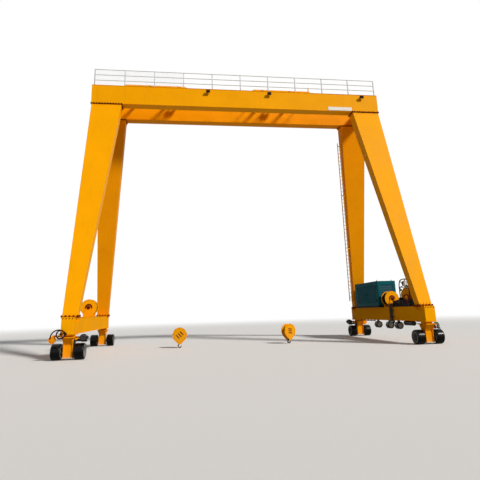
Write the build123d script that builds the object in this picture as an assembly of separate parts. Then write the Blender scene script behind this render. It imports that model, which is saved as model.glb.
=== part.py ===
from build123d import *
import os

os.makedirs("parts", exist_ok=True)

# Rubber tyred gantry crane. X runs across the span, Y along the direction of travel and Z up.
# The front is -Y, the left is -X, and the origin is on the ground, midway between the four corners.
# All sizes are in millimetres.

# Portal
track_half = 9900
girder_overhang = 260
girder_width = 663
girder_height = 1357
girder_gap = 1744
flange_overhang = 22
flange_thick = 20
tie_width = 420
tie_height = 900
tie_setback = 330
joint_plate = 34
joint_margin = 45

# Legs, each tapering both ways from the girder down to the sill
leg_height = 13940
leg_head_width = 1941
leg_head_depth = 699
leg_foot_width = 755
leg_foot_depth = 532
leg_foot_setback = 348
leg_head_overhang = 222
leg_foot_overhang = 379
haunch = 300

# Sills
sill_length = 10840
sill_width = 673
sill_height = 854
sill_clearance = 1277
bogie_inset = 520

# Corner bogies
tyre_radius = 410
tyre_width = 480
tyre_bead_radius = 270
tyre_shoulder = 44
wheel_offset = 575
rim_thick = 30
rim_lip = 30
rim_lip_thick = 14
axle_radius = 60
hub_radius = 115
hub_proud = 60
saddle_thick = 40
saddle_length = 1000
ring_height = 45
ring_radius = 300
swivel_gap = 0.3
running_clearance = 0.1
head_plate_thick = 45
head_plate_width = 640
head_plate_length = 980
neck_bottom = 760
neck_margin = 70
column_width = 470
column_depth = 400
column_plate = 35
column_recess = 60
gusset_thick = 25
gusset_place = 190
gusset_drop = 240
foot_width = 520
foot_thick = 40
foot_lift = 90
boss_radius = 130
boss_length = 20

# Travel drive on each bogie
motor_radius = 165
motor_length = 300
motor_height = 1095
motor_reach = 750
motor_start = 20
reducer_width = 260
reducer_length = 160
reducer_drop = 90
reducer_rise = 105
drive_shaft_height = 960
chain_case_thick = 52
chain_case_inset = 10
chain_case_radius = 140
drive_tube_radius = 62
drive_arm_width = 220
drive_arm_thick = 40

# Hand wheels on the sill ends
hand_wheel_radius = 220
hand_wheel_rim = 20
hand_wheel_height = 1290
hand_wheel_side = 260
hand_wheel_proud = 190
hand_wheel_spokes = 5
hand_wheel_hub_radius = 40
hand_wheel_hub_length = 60
bearing_half = 70
bearing_depth = 60
bearing_bottom = 1165
gear_arm_reach = 700
gear_arm_height = 90
gear_case_radius = 165
gear_case_height = 1030
gear_case_depth = 170
gear_foot_radius = 70
gear_foot_height = 905

# Rails, trolleys and their wheels
rail_half_gauge = 1000
rail_head = 60
rail_height = 70
rail_end_setback = 120
stop_height = 260
stop_thick = 80
trolley_length = 4160
trolley_beam_width = 220
trolley_plate = 20
trolley_top_over_rail = 262
trolley_beam_depth = 225
trolley_wheel_radius = 110
trolley_wheel_flange = 130
trolley_tread = 70
trolley_flange_thick = 15
trolley_axle_radius = 35
trolley_axle_inset = 160
cross_beam_place = 1100
cross_beam_width = 160
cross_beam_depth = 150
sheave_radius = 205
sheave_thick = 62
sheave_count = 4
sheave_pitch = 80
sheave_pin_radius = 40
nest_plate = 24
nest_half = 190
sheave_drop = 50
buffer_radius = 65
buffer_length = 95

# Hook blocks
block_radius = 460
block_centre = 800
block_thick = 360
cheek_thick = 30
block_sheave_radius = 365
block_pin_radius = 70
block_sheave_count = 3
block_sheave_share = 0.8
trunnion_height = 320
trunnion_radius = 110
crosshead_width = 170
crosshead_height = 110
hook_shank_radius = 45
hook_bowl_radius = 70
hook_section = 60
hook_thick = 70
hook_ground_gap = 5
hook_nut_radius = 62
hook_nut_height = 44

# Winches on the sills
drum_radius = 250
drum_length = 520
drum_flange_radius = 500
drum_flange_thick = 28
drum_shaft_radius = 50
winch_left_place = -190
winch_right_place = -780
winch_base_thick = 30
winch_base_width = 640
drum_ground_gap = 20
drum_side_gap = 20
bearing_plate_thick = 40
bearing_head_radius = 130
winch_motor_radius = 140
winch_motor_length = 190

# Generator set
genset_width = 1370
genset_near = -200
genset_leg_gap = 790
genset_skid_height = 130
genset_height = 1670
genset_wall = 50
genset_corner = 60
genset_offset = 115
door_height = 1240
door_gap = 8
door_sill = 190
door_thick = 40
door_split = 160
door_inset = 300
door_far_inset = 490
hinge_radius = 14
hinge_length = 90
hinge_inset = 160
hinge_leaf = 30
hinge_stand_off = 1
outlet_width = 950
outlet_height = 1050
outlet_base = 380
outlet_recess = 30
slat_count = 7
slat_thick = 20
engine_length = 1900
engine_width = 700
engine_height = 950

# Hydraulic set, hoop with its lamp, hoses and tanks of the right sill
power_pack_leg_gap = 940
power_pack_winch_gap = 520
power_pack_nose = 530
power_pack_width = 430
power_pack_height = 420
power_pack_offset = 110
pump_motor_radius = 150
pump_motor_length = 560
pump_foot_length = 370
pump_setback = 700
guard_ring_offset = -300
guard_ring_setback = 100
guard_ring_width = 340
guard_ring_height = 520
guard_ring_corner = 160
guard_ring_bar = 50
guard_ring_lift = 210
hoop_offset = -210
hoop_lead = 180
hoop_width = 1180
hoop_top = 3820
hoop_tube_radius = 30
hoop_corner = 420
lamp_radius = 150
lamp_depth = 120
lamp_height = 3560
lamp_setback = 500
lamp_bar_height = 3330
side_lamp_radius = 110
side_lamp_depth = 50
side_lamp_setback = 220
beacon_radius = 90
beacon_height = 3180
beacon_reach = 130
lamp_stem = 30
lamp_bar_radius = 20
hose_count = 4
hose_radius = 24
hose_pitch = 120
hose_first = -1710
hose_standoff = 70
hose_bend = 180
hose_end_drop = 90
hose_bar_half = 20
hose_bar_levels = (0.3, 0.75)
air_tank_radius = 150
air_tank_length = 1000
air_tank_centre = -3030
pod_radius = 225
pod_length = 340
pod_offset = -280
pod_drop = 300
pod_stem_half = 60
pod_places = (-2170, -940, 780)
manifold_height = 85
manifold_width = 130
manifold_bracket = 30

# Handrails and ladder
bay_count = 10
handrail_setback = 160
post_size = 60
handrail_height = 1203
handrail_tube_radius = 24
handrail_levels = 3
ladder_width = 460
ladder_tube = 44
rung_radius = 14
rung_pitch = 300
ladder_standoff = 180
ladder_bottom = 500
ladder_top = 13200
ladder_bracket_levels = (0.02, 0.34, 0.67, 0.98)

# Floodlights on the front girder
lamp_places = (-2320, 2030, 8910)
flood_width = 260
flood_height = 200
flood_depth = 130
flood_arm = 150
flood_drop = 210
flood_tilt = 35
flood_bracket_half = 30
flood_bracket_thick = 40

# Levels and places that follow from the sizes above
girder_length = 2 * (track_half + girder_overhang)
wheelbase_half = sill_length / 2 - bogie_inset
sill_end = sill_length / 2
leg_outer_head = track_half + leg_head_overhang
leg_outer_foot = track_half + leg_foot_overhang
leg_foot_y = sill_end - leg_foot_setback - leg_foot_depth / 2
leg_foot_inner = leg_foot_y - leg_foot_depth / 2
trolley_axle_place = trolley_length / 2 - trolley_axle_inset
genset_centre = track_half + genset_offset
genset_far = leg_foot_inner - genset_leg_gap
door_width = (genset_far - genset_near - door_inset - door_split - door_far_inset) / 2
power_pack_centre = track_half + power_pack_offset
power_pack_near = power_pack_leg_gap - leg_foot_inner
power_pack_far = winch_right_place - power_pack_winch_gap
pump_centre = power_pack_near + pump_setback
guard_ring_place = power_pack_near + guard_ring_setback
hoop_x = track_half + hoop_offset
hoop_near = power_pack_near - hoop_lead
hoop_far = hoop_near + hoop_width
pod_x = track_half + pod_offset
sill_top = sill_clearance + sill_height
girder_bottom = sill_top + leg_height
girder_top = girder_bottom + girder_height
girder_y = (girder_gap + girder_width) / 2
girder_outer = girder_gap / 2 + girder_width
rail_top = girder_top + rail_height
trolley_top = rail_top + trolley_top_over_rail
trolley_axle_height = rail_top + trolley_wheel_radius + swivel_gap
ring_split = sill_clearance - saddle_thick - ring_height
head_plate_bottom = ring_split - swivel_gap - ring_height - head_plate_thick
drum_height = sill_top + winch_base_thick + drum_ground_gap + drum_flange_radius
skid_top = sill_top + genset_skid_height
hook_bowl_height = hook_ground_gap + hook_section + hook_bowl_radius
hose_bottom = sill_clearance - hose_end_drop

# name, side along X, end along Y, side of the bogie that its drive is on (0 where it idles)
CORNERS = (
    ("front_left", -1, -1, 1),
    ("front_right", 1, -1, 0),
    ("rear_left", -1, 1, 0),
    ("rear_right", 1, 1, -1),
)

# name, side along X, middle of the drum along Y
WINCHES = (
    ("left", -1, winch_left_place),
    ("right", 1, winch_right_place),
)

# name, middle along X at rest, sheaves short of the +X axle, turn of the hook block about Z in degrees
TROLLEYS = (
    ("left", -5930, 260, 0),
    ("right", 3090, 2110, 25),
)


def slab(x0, x1, y0, y1, z0, z1):
    """A box between two opposite corners."""
    middle = ((x0 + x1) / 2, (y0 + y1) / 2, (z0 + z1) / 2)
    return Pos(*middle) * Box(abs(x1 - x0), abs(y1 - y0), abs(z1 - z0))


def rod_x(radius, length, x=0.0, y=0.0, z=0.0):
    """A cylinder along X, centred on the point."""
    return Pos(x, y, z) * Rot(0, 90, 0) * Cylinder(radius, length)


def rod_y(radius, length, x=0.0, y=0.0, z=0.0):
    """A cylinder along Y, centred on the point."""
    return Pos(x, y, z) * Rot(90, 0, 0) * Cylinder(radius, length)


def keep(name, *shapes):
    """Writes one node, whose solids may lie apart."""
    solids = [solid for shape in shapes for solid in shape.solids()]
    export_step(Compound(children=solids), f"parts/{name}.step")


def box_beam(length, width, height):
    """A welded box beam along X, with flange plates that stand past its webs, centred on the origin."""
    web_box = Box(length, width - 2 * flange_overhang, height - 2 * flange_thick)
    plate_z = (height - flange_thick) / 2
    plates = [Pos(0, 0, side * plate_z) * Box(length, width, flange_thick) for side in (-1, 1)]
    return web_box + plates[0] + plates[1]


# Girders and the ties that join their ends
girder_mid = (girder_bottom + girder_top) / 2
for name, end in (("front", -1), ("rear", 1)):
    girder = box_beam(girder_length, girder_width, girder_height)
    keep(f"girder_{name}", Pos(0, end * girder_y, girder_mid) * girder)

tie_x = girder_length / 2 - tie_setback - tie_width / 2
tie = Box(tie_width, girder_gap + 2 * flange_overhang, tie_height)
keep("end_ties", *[Pos(side * tie_x, 0, girder_mid) * tie for side in (-1, 1)])


# Legs: a tapered box with a bolted plate at each end and a haunch under the girder
def leg(side, end):
    foot_z = sill_top + joint_plate
    head_z = girder_bottom - joint_plate
    head_x = side * (leg_outer_head - leg_head_width / 2)
    foot_x = side * (leg_outer_foot - leg_foot_width / 2)
    head_y = end * (girder_outer - leg_head_depth / 2)
    foot_y = end * leg_foot_y
    foot = Pos(foot_x, foot_y, foot_z) * Rectangle(leg_foot_width, leg_foot_depth)
    head = Pos(head_x, head_y, head_z) * Rectangle(leg_head_width, leg_head_depth)
    shaft = loft([foot, head], ruled=True)
    foot_plate = Pos(foot_x, foot_y, foot_z - joint_plate / 2) * Box(
        leg_foot_width + 2 * joint_margin, leg_foot_depth + 2 * joint_margin, joint_plate
    )
    head_plate = Pos(head_x, head_y, head_z + joint_plate / 2) * Box(
        leg_head_width + 2 * joint_margin, leg_head_depth + 2 * joint_margin, joint_plate
    )
    inner_x = side * (leg_outer_head - leg_head_width)
    corner = make_face(
        Polyline(
            (inner_x + side * haunch, head_z - haunch),
            (inner_x - side * joint_margin, head_z),
            (inner_x + side * haunch, head_z),
            close=True,
        )
    )
    wedge = Pos(0, head_y, 0) * extrude(Plane.XZ * corner, leg_head_depth / 2 - flange_overhang, both=True)
    return shaft + foot_plate + head_plate + wedge


for name, side, end, drive_side in CORNERS:
    keep(f"leg_{name}", leg(side, end))


# Sills, each with the two saddles that its bogies turn under
def sill(side):
    beam = Pos(side * track_half, 0, sill_clearance + sill_height / 2) * Rot(0, 0, 90) * box_beam(
        sill_length, sill_width, sill_height
    )
    for end in (-1, 1):
        middle = (side * track_half, end * wheelbase_half)
        beam += Pos(*middle, sill_clearance - saddle_thick / 2) * Box(sill_width, saddle_length, saddle_thick)
        beam += Pos(*middle, ring_split + ring_height / 2) * Cylinder(ring_radius, ring_height)
    return beam


for name, side in (("left", -1), ("right", 1)):
    keep(f"sill_{name}", sill(side))


# Knuckle of a bogie: slewing ring, head plate, two side plates with a web set back between them,
# gussets under the head plate, axle bosses and jack foot
def knuckle_plate(inset, thick, x):
    """A plate with the knuckle's shape from the side, drawn in by the inset and centred on x."""
    head_half = head_plate_length / 2 - neck_margin - inset
    column_half = column_depth / 2 - inset
    foot_top = foot_lift + foot_thick
    outline = make_face(
        Polyline(
            (-head_half, head_plate_bottom),
            (head_half, head_plate_bottom),
            (column_half, neck_bottom),
            (column_half, foot_top),
            (-column_half, foot_top),
            (-column_half, neck_bottom),
            close=True,
        )
    )
    return Pos(x, 0, 0) * extrude(Plane.YZ * outline, thick / 2, both=True)


def knuckle():
    ring_z = ring_split - swivel_gap - ring_height / 2
    body = Pos(0, 0, ring_z) * Cylinder(ring_radius, ring_height)
    body += Pos(0, 0, head_plate_bottom + head_plate_thick / 2) * Box(
        head_plate_width, head_plate_length, head_plate_thick
    )
    body += knuckle_plate(column_recess, column_width - 2 * column_plate, 0)
    for side in (-1, 1):
        body += knuckle_plate(0, column_plate, side * (column_width - column_plate) / 2)
        corner = make_face(
            Polyline(
                (side * column_width / 2, head_plate_bottom),
                (side * head_plate_width / 2, head_plate_bottom),
                (side * column_width / 2, head_plate_bottom - gusset_drop),
                close=True,
            )
        )
        for end in (-1, 1):
            body += Pos(0, end * gusset_place, 0) * extrude(Plane.XZ * corner, gusset_thick / 2, both=True)
    body += Pos(0, 0, foot_lift + foot_thick / 2) * Box(foot_width, foot_width, foot_thick)
    body += rod_x(boss_radius, column_width + 2 * boss_length, z=tyre_radius)
    return body - rod_x(axle_radius + running_clearance, 2 * column_width, z=tyre_radius)


# Axle with the two rims that it carries, turned about X
def axle_and_rims():
    half_rim = tyre_width / 2 - rim_lip_thick
    barrel = tyre_bead_radius - swivel_gap
    section = Polyline(
        (-half_rim, barrel + rim_lip),
        (-half_rim + rim_lip_thick, barrel + rim_lip),
        (-half_rim + rim_lip_thick, barrel),
        (half_rim - rim_lip_thick, barrel),
        (half_rim - rim_lip_thick, barrel + rim_lip),
        (half_rim, barrel + rim_lip),
        (half_rim, barrel - rim_thick),
        (rim_thick, barrel - rim_thick),
        (rim_thick, 0),
        (-rim_thick, 0),
        (-rim_thick, barrel - rim_thick),
        (-half_rim, barrel - rim_thick),
        close=True,
    )
    rim = revolve(make_face(section), Axis.X)
    body = rod_x(axle_radius, 2 * wheel_offset, z=tyre_radius)
    for side in (-1, 1):
        body += Pos(side * wheel_offset, 0, tyre_radius) * rim
        body += rod_x(hub_radius, 2 * hub_proud, x=side * wheel_offset, z=tyre_radius)
    return body


# Twin tyres, with square shoulders
def tyres():
    half = tyre_width / 2
    bead_half = half - 2 * rim_lip_thick
    lip_top = tyre_bead_radius + rim_lip + rim_lip_thick
    section = Polyline(
        (-bead_half, tyre_bead_radius),
        (-bead_half, lip_top),
        (-half, lip_top + rim_lip_thick),
        (-half, tyre_radius - tyre_shoulder),
        (-half + tyre_shoulder, tyre_radius),
        (half - tyre_shoulder, tyre_radius),
        (half, tyre_radius - tyre_shoulder),
        (half, lip_top + rim_lip_thick),
        (bead_half, lip_top),
        (bead_half, tyre_bead_radius),
        close=True,
    )
    tyre = revolve(make_face(section), Axis.X)
    return [Pos(side * wheel_offset, 0, tyre_radius) * tyre for side in (-1, 1)]


# Travel drive: chain case down to the axle, shaft tube over the wheel, reducer, and motor along Y
def drive(side, end):
    case_x = side * (column_width / 2 + boss_length + chain_case_inset + chain_case_thick / 2)
    case = rod_x(chain_case_radius, chain_case_thick, x=case_x, z=drive_shaft_height)
    case += rod_x(chain_case_radius, chain_case_thick, x=case_x, z=tyre_radius)
    case += slab(
        case_x - chain_case_thick / 2, case_x + chain_case_thick / 2,
        -chain_case_radius, chain_case_radius, tyre_radius, drive_shaft_height,
    )
    motor_x = side * motor_reach
    case += rod_x(drive_tube_radius, abs(motor_x - case_x), x=(case_x + motor_x) / 2, z=drive_shaft_height)
    case += slab(
        motor_x - reducer_width / 2, motor_x + reducer_width / 2,
        end * (motor_start - reducer_length), end * motor_start,
        drive_shaft_height - reducer_drop, motor_height + reducer_rise,
    )
    motor_y = end * (motor_start + motor_length / 2)
    case += rod_y(motor_radius, motor_length, x=motor_x, y=motor_y, z=motor_height)
    case += slab(
        side * head_plate_width / 2, motor_x, -drive_arm_width / 2, drive_arm_width / 2,
        head_plate_bottom, head_plate_bottom + drive_arm_thick,
    )
    return case - rod_x(axle_radius + running_clearance, 2 * column_width, x=case_x, z=tyre_radius)


for name, side, end, drive_side in CORNERS:
    corner = Pos(side * track_half, end * wheelbase_half, 0)
    keep(f"knuckle_{name}", corner * knuckle())
    keep(f"hub_{name}", corner * axle_and_rims())
    keep(f"tyres_{name}", *[corner * tyre for tyre in tyres()])
    if drive_side:
        keep(f"drive_{name}", corner * drive(drive_side, end))


# Hand wheel and its bearing on the sill's end above each driven bogie, and its gear case on an arm
def hand_wheel():
    rim = Rot(90, 0, 0) * Torus(hand_wheel_radius - hand_wheel_rim, hand_wheel_rim)
    wheel = rim + rod_y(hand_wheel_hub_radius, hand_wheel_hub_length)
    spoke_length = hand_wheel_radius - hand_wheel_rim
    for index in range(hand_wheel_spokes):
        spoke = Pos(0, 0, spoke_length / 2) * Box(hand_wheel_rim, hand_wheel_rim, spoke_length)
        wheel += Rot(0, index * 360 / hand_wheel_spokes, 0) * spoke
    return wheel


def hand_gear(side, end):
    wheel_x = side * (track_half + hand_wheel_side)
    gear_x = side * (track_half + gear_arm_reach)
    plate_y = (end * sill_end, end * (sill_end + bearing_depth))
    shaft_length = hand_wheel_proud - hand_wheel_hub_length / 2
    body = slab(
        wheel_x - bearing_half, wheel_x + bearing_half, *plate_y,
        bearing_bottom, hand_wheel_height + bearing_half,
    )
    body += rod_y(
        hand_wheel_rim, shaft_length, x=wheel_x, y=end * (sill_end + shaft_length / 2), z=hand_wheel_height
    )
    body += slab(wheel_x, gear_x, *plate_y, bearing_bottom, bearing_bottom + gear_arm_height)
    outline = make_hull(
        (
            Pos(gear_x, gear_case_height) * Circle(gear_case_radius)
            + Pos(gear_x, gear_foot_height) * Circle(gear_foot_radius)
        ).edges()
    )
    return body + Pos(0, end * sill_end, 0) * extrude(Plane.XZ * outline, gear_case_depth / 2, both=True)


wheels = []
cases = []
for name, side, end, drive_side in CORNERS:
    if drive_side:
        wheel_x = side * (track_half + hand_wheel_side)
        wheel_y = end * (sill_end + hand_wheel_proud)
        wheels.append(Pos(wheel_x, wheel_y, hand_wheel_height) * hand_wheel())
        cases.append(hand_gear(side, end))
keep("hand_wheels", *wheels)
keep("hand_wheel_cases", *cases)


# Winches: a flanged drum in two bearing plates on a base
def drum(middle_x, middle_y):
    body = rod_y(drum_radius, drum_length)
    shaft_length = drum_length + 2 * (drum_flange_thick + drum_side_gap + bearing_plate_thick)
    body += rod_y(drum_shaft_radius, shaft_length)
    for end in (-1, 1):
        body += rod_y(drum_flange_radius, drum_flange_thick, y=end * (drum_length + drum_flange_thick) / 2)
    return Pos(middle_x, middle_y, drum_height) * body


def winch_frame(middle_x, middle_y):
    plate_y = drum_length / 2 + drum_flange_thick + drum_side_gap + bearing_plate_thick / 2
    base_length = 2 * plate_y + bearing_plate_thick
    frame = Pos(middle_x, middle_y, sill_top + winch_base_thick / 2) * Box(
        winch_base_width, base_length, winch_base_thick
    )
    rise = drum_height - sill_top - winch_base_thick
    outline = make_hull(
        (
            Pos(0, rise) * Circle(bearing_head_radius)
            + Pos(0, bearing_head_radius / 2) * Rectangle(winch_base_width, bearing_head_radius)
        ).edges()
    )
    for end in (-1, 1):
        plate = extrude(Plane.XZ * outline, bearing_plate_thick / 2, both=True)
        frame += Pos(middle_x, middle_y + end * plate_y, sill_top + winch_base_thick) * plate
    bore = rod_y(
        drum_shaft_radius + running_clearance, 4 * plate_y, x=middle_x, y=middle_y, z=drum_height
    )
    frame -= bore
    motor_y = plate_y + bearing_plate_thick / 2 + swivel_gap + winch_motor_length / 2
    motor = rod_y(
        winch_motor_radius, winch_motor_length, x=middle_x, y=middle_y + motor_y, z=drum_height
    )
    motor += slab(
        middle_x - winch_motor_radius / 2, middle_x + winch_motor_radius / 2,
        middle_y + motor_y - winch_motor_length / 4, middle_y + motor_y + winch_motor_length / 4,
        sill_top, drum_height,
    )
    return [frame, motor]


for name, side, middle_y in WINCHES:
    keep(f"drum_{name}", drum(side * track_half, middle_y))
    keep(f"winch_frame_{name}", *winch_frame(side * track_half, middle_y))


# Rails on the girders, with a stop at each end
rail_half = girder_length / 2 - rail_end_setback
rails = []
stops = []
for end in (-1, 1):
    rail_y = end * rail_half_gauge
    rails.append(
        slab(
            -rail_half + stop_thick, rail_half - stop_thick,
            rail_y - rail_head / 2, rail_y + rail_head / 2, girder_top, rail_top,
        )
    )
    for side in (-1, 1):
        stops.append(
            slab(
                side * (rail_half - stop_thick), side * rail_half,
                rail_y - rail_head, rail_y + rail_head, girder_top, girder_top + stop_height,
            )
        )
keep("trolley_rails", *rails)
keep("rail_stops", *stops)


# Trolley: two channel beams over the rails, cross beams, and the sheave nest between the girders
def trolley_frame(middle_x, nest_x):
    beam_bottom = trolley_top - trolley_beam_depth
    wall_y = trolley_beam_width / 2 - trolley_plate / 2
    parts = []
    for end in (-1, 1):
        beam_y = end * rail_half_gauge
        parts.append(
            slab(
                -trolley_length / 2, trolley_length / 2,
                beam_y - trolley_beam_width / 2, beam_y + trolley_beam_width / 2,
                trolley_top - trolley_plate, trolley_top,
            )
        )
        for wall in (-1, 1):
            mid = beam_y + wall * wall_y
            parts.append(
                slab(
                    -trolley_length / 2, trolley_length / 2,
                    mid - trolley_plate / 2, mid + trolley_plate / 2, beam_bottom, trolley_top,
                )
            )
        for side in (-1, 1):
            x_end = side * trolley_length / 2
            parts.append(
                slab(
                    x_end, x_end - side * trolley_plate,
                    beam_y - trolley_beam_width / 2, beam_y + trolley_beam_width / 2,
                    rail_top + trolley_plate, trolley_top,
                )
            )
    inner_y = rail_half_gauge - trolley_beam_width / 2 + trolley_plate / 2
    for side in (-1, 1):
        place = side * cross_beam_place
        parts.append(
            slab(
                place - cross_beam_width / 2, place + cross_beam_width / 2, -inner_y, inner_y,
                trolley_top - cross_beam_depth, trolley_top - trolley_plate,
            )
        )
    pin_z = rail_top - sheave_drop
    for side in (-1, 1):
        place = nest_x + side * nest_half
        parts.append(
            slab(
                place - nest_plate / 2, place + nest_plate / 2, -inner_y, inner_y,
                trolley_top - cross_beam_depth, trolley_top - trolley_plate,
            )
        )
        parts.append(
            slab(
                place - nest_plate / 2, place + nest_plate / 2, -sheave_radius, sheave_radius,
                pin_z - 2 * sheave_pin_radius, trolley_top - trolley_plate,
            )
        )
    frame = parts[0]
    for piece in parts[1:]:
        frame += piece
    axle_x = trolley_length / 2 - trolley_axle_inset
    for side in (-1, 1):
        frame -= rod_y(
            trolley_axle_radius + running_clearance, 3 * rail_half_gauge,
            x=side * axle_x, z=trolley_axle_height,
        )
    frame += rod_x(sheave_pin_radius, 2 * nest_half, x=nest_x, z=pin_z)
    for index in range(sheave_count):
        x = nest_x + (index - (sheave_count - 1) / 2) * sheave_pitch
        frame += rod_x(sheave_radius, sheave_thick, x=x, z=pin_z)
    return Pos(middle_x, 0, 0) * frame


def trolley_buffers(middle_x):
    return [
        rod_x(
            buffer_radius, buffer_length,
            x=middle_x + side * (trolley_length + buffer_length) / 2,
            y=end * rail_half_gauge, z=trolley_top - buffer_radius - trolley_plate,
        )
        for side in (-1, 1)
        for end in (-1, 1)
    ]


def trolley_axle():
    half = rail_half_gauge + trolley_beam_width / 2 + trolley_plate
    axle = rod_y(trolley_axle_radius, 2 * half)
    for end in (-1, 1):
        axle += rod_y(trolley_wheel_radius, trolley_tread + 2 * trolley_flange_thick, y=end * rail_half_gauge)
        for wall in (-1, 1):
            flange_y = end * rail_half_gauge + wall * (trolley_tread + trolley_flange_thick) / 2
            axle += rod_y(trolley_wheel_flange, trolley_flange_thick, y=flange_y)
    return axle


for name, middle_x, sheaves_short, turn in TROLLEYS:
    keep(f"trolley_{name}", trolley_frame(middle_x, trolley_axle_place - sheaves_short))
    keep(f"trolley_buffers_{name}", *trolley_buffers(middle_x))
    for place, side in (("a", -1), ("b", 1)):
        axle = Pos(middle_x + side * trolley_axle_place, 0, trolley_axle_height) * trolley_axle()
        keep(f"trolley_axle_{name}_{place}", axle)


# Hook block: pear-shaped cheeks, sheaves on their pin, and the crosshead that the hook swivels in
def hook_block():
    outline = make_hull(
        (
            Pos(0, block_centre) * Circle(block_radius)
            + Pos(0, trunnion_height) * Circle(trunnion_radius)
        ).edges()
    )
    cheek_y = (block_thick - cheek_thick) / 2
    body = rod_y(block_pin_radius, block_thick, z=block_centre)
    for end in (-1, 1):
        body += Pos(0, end * cheek_y, 0) * extrude(Plane.XZ * outline, cheek_thick / 2, both=True)
    inner = block_thick - 2 * cheek_thick
    body += Pos(0, 0, trunnion_height) * Box(crosshead_width, inner, crosshead_height)
    sheave_slot = inner / block_sheave_count
    for index in range(block_sheave_count):
        y = (index - (block_sheave_count - 1) / 2) * sheave_slot
        body += rod_y(block_sheave_radius, sheave_slot * block_sheave_share, y=y, z=block_centre)
    shank_hole = Pos(0, 0, trunnion_height) * Cylinder(
        hook_shank_radius + running_clearance, 2 * crosshead_height
    )
    return body - shank_hole


def hook():
    outer = hook_bowl_radius + hook_section
    ring = Circle(outer) - Circle(hook_bowl_radius)
    mouth = Pos(outer / 2, outer / 2) * Rectangle(outer, outer)
    bowl = extrude(Plane.XZ * (ring - mouth), hook_thick / 2, both=True)
    body = Pos(0, 0, hook_bowl_height) * bowl
    shank_foot = hook_bowl_height + hook_bowl_radius
    shank_top = trunnion_height + crosshead_height / 2 + swivel_gap
    body += Pos(0, 0, (shank_foot + shank_top) / 2) * Cylinder(hook_shank_radius, shank_top - shank_foot)
    body += Pos(0, 0, shank_top + hook_nut_height / 2) * Cylinder(hook_nut_radius, hook_nut_height)
    return body


for name, middle_x, sheaves_short, turn in TROLLEYS:
    place = Pos(middle_x + trolley_axle_place - sheaves_short, 0, 0) * Rot(0, 0, turn)
    keep(f"hook_block_{name}", place * hook_block())
    keep(f"hook_{name}", place * hook())


# Generator set on the right sill: skid, hollow canopy with an outlet grille, two doors and the engine
genset_inner = genset_centre - genset_width / 2
genset_outer = genset_centre + genset_width / 2
canopy_top = skid_top + genset_height
engine_y = (genset_near + genset_far) / 2
skid = slab(genset_inner, genset_outer, genset_near, genset_far, sill_top, skid_top)
engine = slab(
    genset_centre - engine_width / 2, genset_centre + engine_width / 2,
    engine_y - engine_length / 2, engine_y + engine_length / 2, skid_top, skid_top + engine_height,
)
keep("genset_skid", skid)
keep("engine_block", engine)

canopy = slab(genset_inner, genset_outer, genset_near, genset_far, skid_top, canopy_top)
canopy = fillet(canopy.edges().filter_by(Axis.Z), genset_corner)
canopy -= slab(
    genset_inner + genset_wall, genset_outer - genset_wall,
    genset_near + genset_wall, genset_far - genset_wall, skid_top, canopy_top - genset_wall,
)
door_base = skid_top + door_sill
door_starts = (genset_near + door_inset, genset_near + door_inset + door_width + door_split)
hinge_x = genset_inner - hinge_radius - hinge_stand_off


def hinge_part(axis_y, leaf_side, z):
    """Half of a door hinge: a barrel on the axis, with a leaf to one side of it."""
    barrel = Pos(hinge_x, axis_y, z) * Cylinder(hinge_radius, hinge_length - swivel_gap)
    leaf_z = (z - (hinge_length - swivel_gap) / 2, z + (hinge_length - swivel_gap) / 2)
    leaf_x = (hinge_x, genset_inner + hinge_stand_off)
    return barrel + slab(*leaf_x, axis_y, axis_y + leaf_side * hinge_leaf, *leaf_z)


doors = []
for start, hinge_side in zip(door_starts, (-1, 1)):
    canopy -= slab(
        genset_inner - genset_wall, genset_inner + 2 * genset_wall,
        start, start + door_width, door_base, door_base + door_height,
    )
    door = slab(
        genset_inner, genset_inner + door_thick,
        start + door_gap, start + door_width - door_gap,
        door_base + door_gap, door_base + door_height - door_gap,
    )
    edge = start if hinge_side < 0 else start + door_width
    axis_y = edge - hinge_side * door_gap / 2
    for level in (door_base + hinge_inset, door_base + door_height - hinge_inset):
        door += hinge_part(axis_y, -hinge_side, level - hinge_length / 2)
        canopy += hinge_part(axis_y, hinge_side, level + hinge_length / 2)
    doors.append(door)
outlet_z = skid_top + outlet_base
outlet = slab(
    genset_centre - outlet_width / 2, genset_centre + outlet_width / 2,
    genset_near - outlet_recess, genset_near + outlet_recess, outlet_z, outlet_z + outlet_height,
)
canopy -= outlet
slat_pitch = outlet_height / slat_count
for index in range(slat_count):
    slat_z = outlet_z + (index + 0.5) * slat_pitch
    canopy += slab(
        genset_centre - outlet_width / 2, genset_centre + outlet_width / 2,
        genset_near, genset_near + outlet_recess, slat_z - slat_thick / 2, slat_z + slat_thick / 2,
    )
keep("genset_canopy", canopy)
keep("genset_door_front", doors[0])
keep("genset_door_rear", doors[1])


# Hydraulic power pack between the winch and the front leg of the right sill, with a sloping nose
pack_inner = power_pack_centre - power_pack_width / 2
pack_top = sill_top + power_pack_height
pack_side = make_face(
    Polyline(
        (power_pack_near - power_pack_nose, sill_top),
        (power_pack_far, sill_top),
        (power_pack_far, pack_top),
        (power_pack_near, pack_top),
        close=True,
    )
)
power_pack = Pos(power_pack_centre, 0, 0) * extrude(Plane.YZ * pack_side, power_pack_width / 2, both=True)
pump_z = pack_top + pump_motor_radius
power_pack += rod_y(pump_motor_radius, pump_motor_length, x=power_pack_centre, y=pump_centre, z=pump_z)
power_pack += slab(
    power_pack_centre - pump_motor_radius / 2, power_pack_centre + pump_motor_radius / 2,
    pump_centre - pump_foot_length / 2, pump_centre + pump_foot_length / 2, sill_top, pump_z,
)
keep("power_pack", power_pack)

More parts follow.
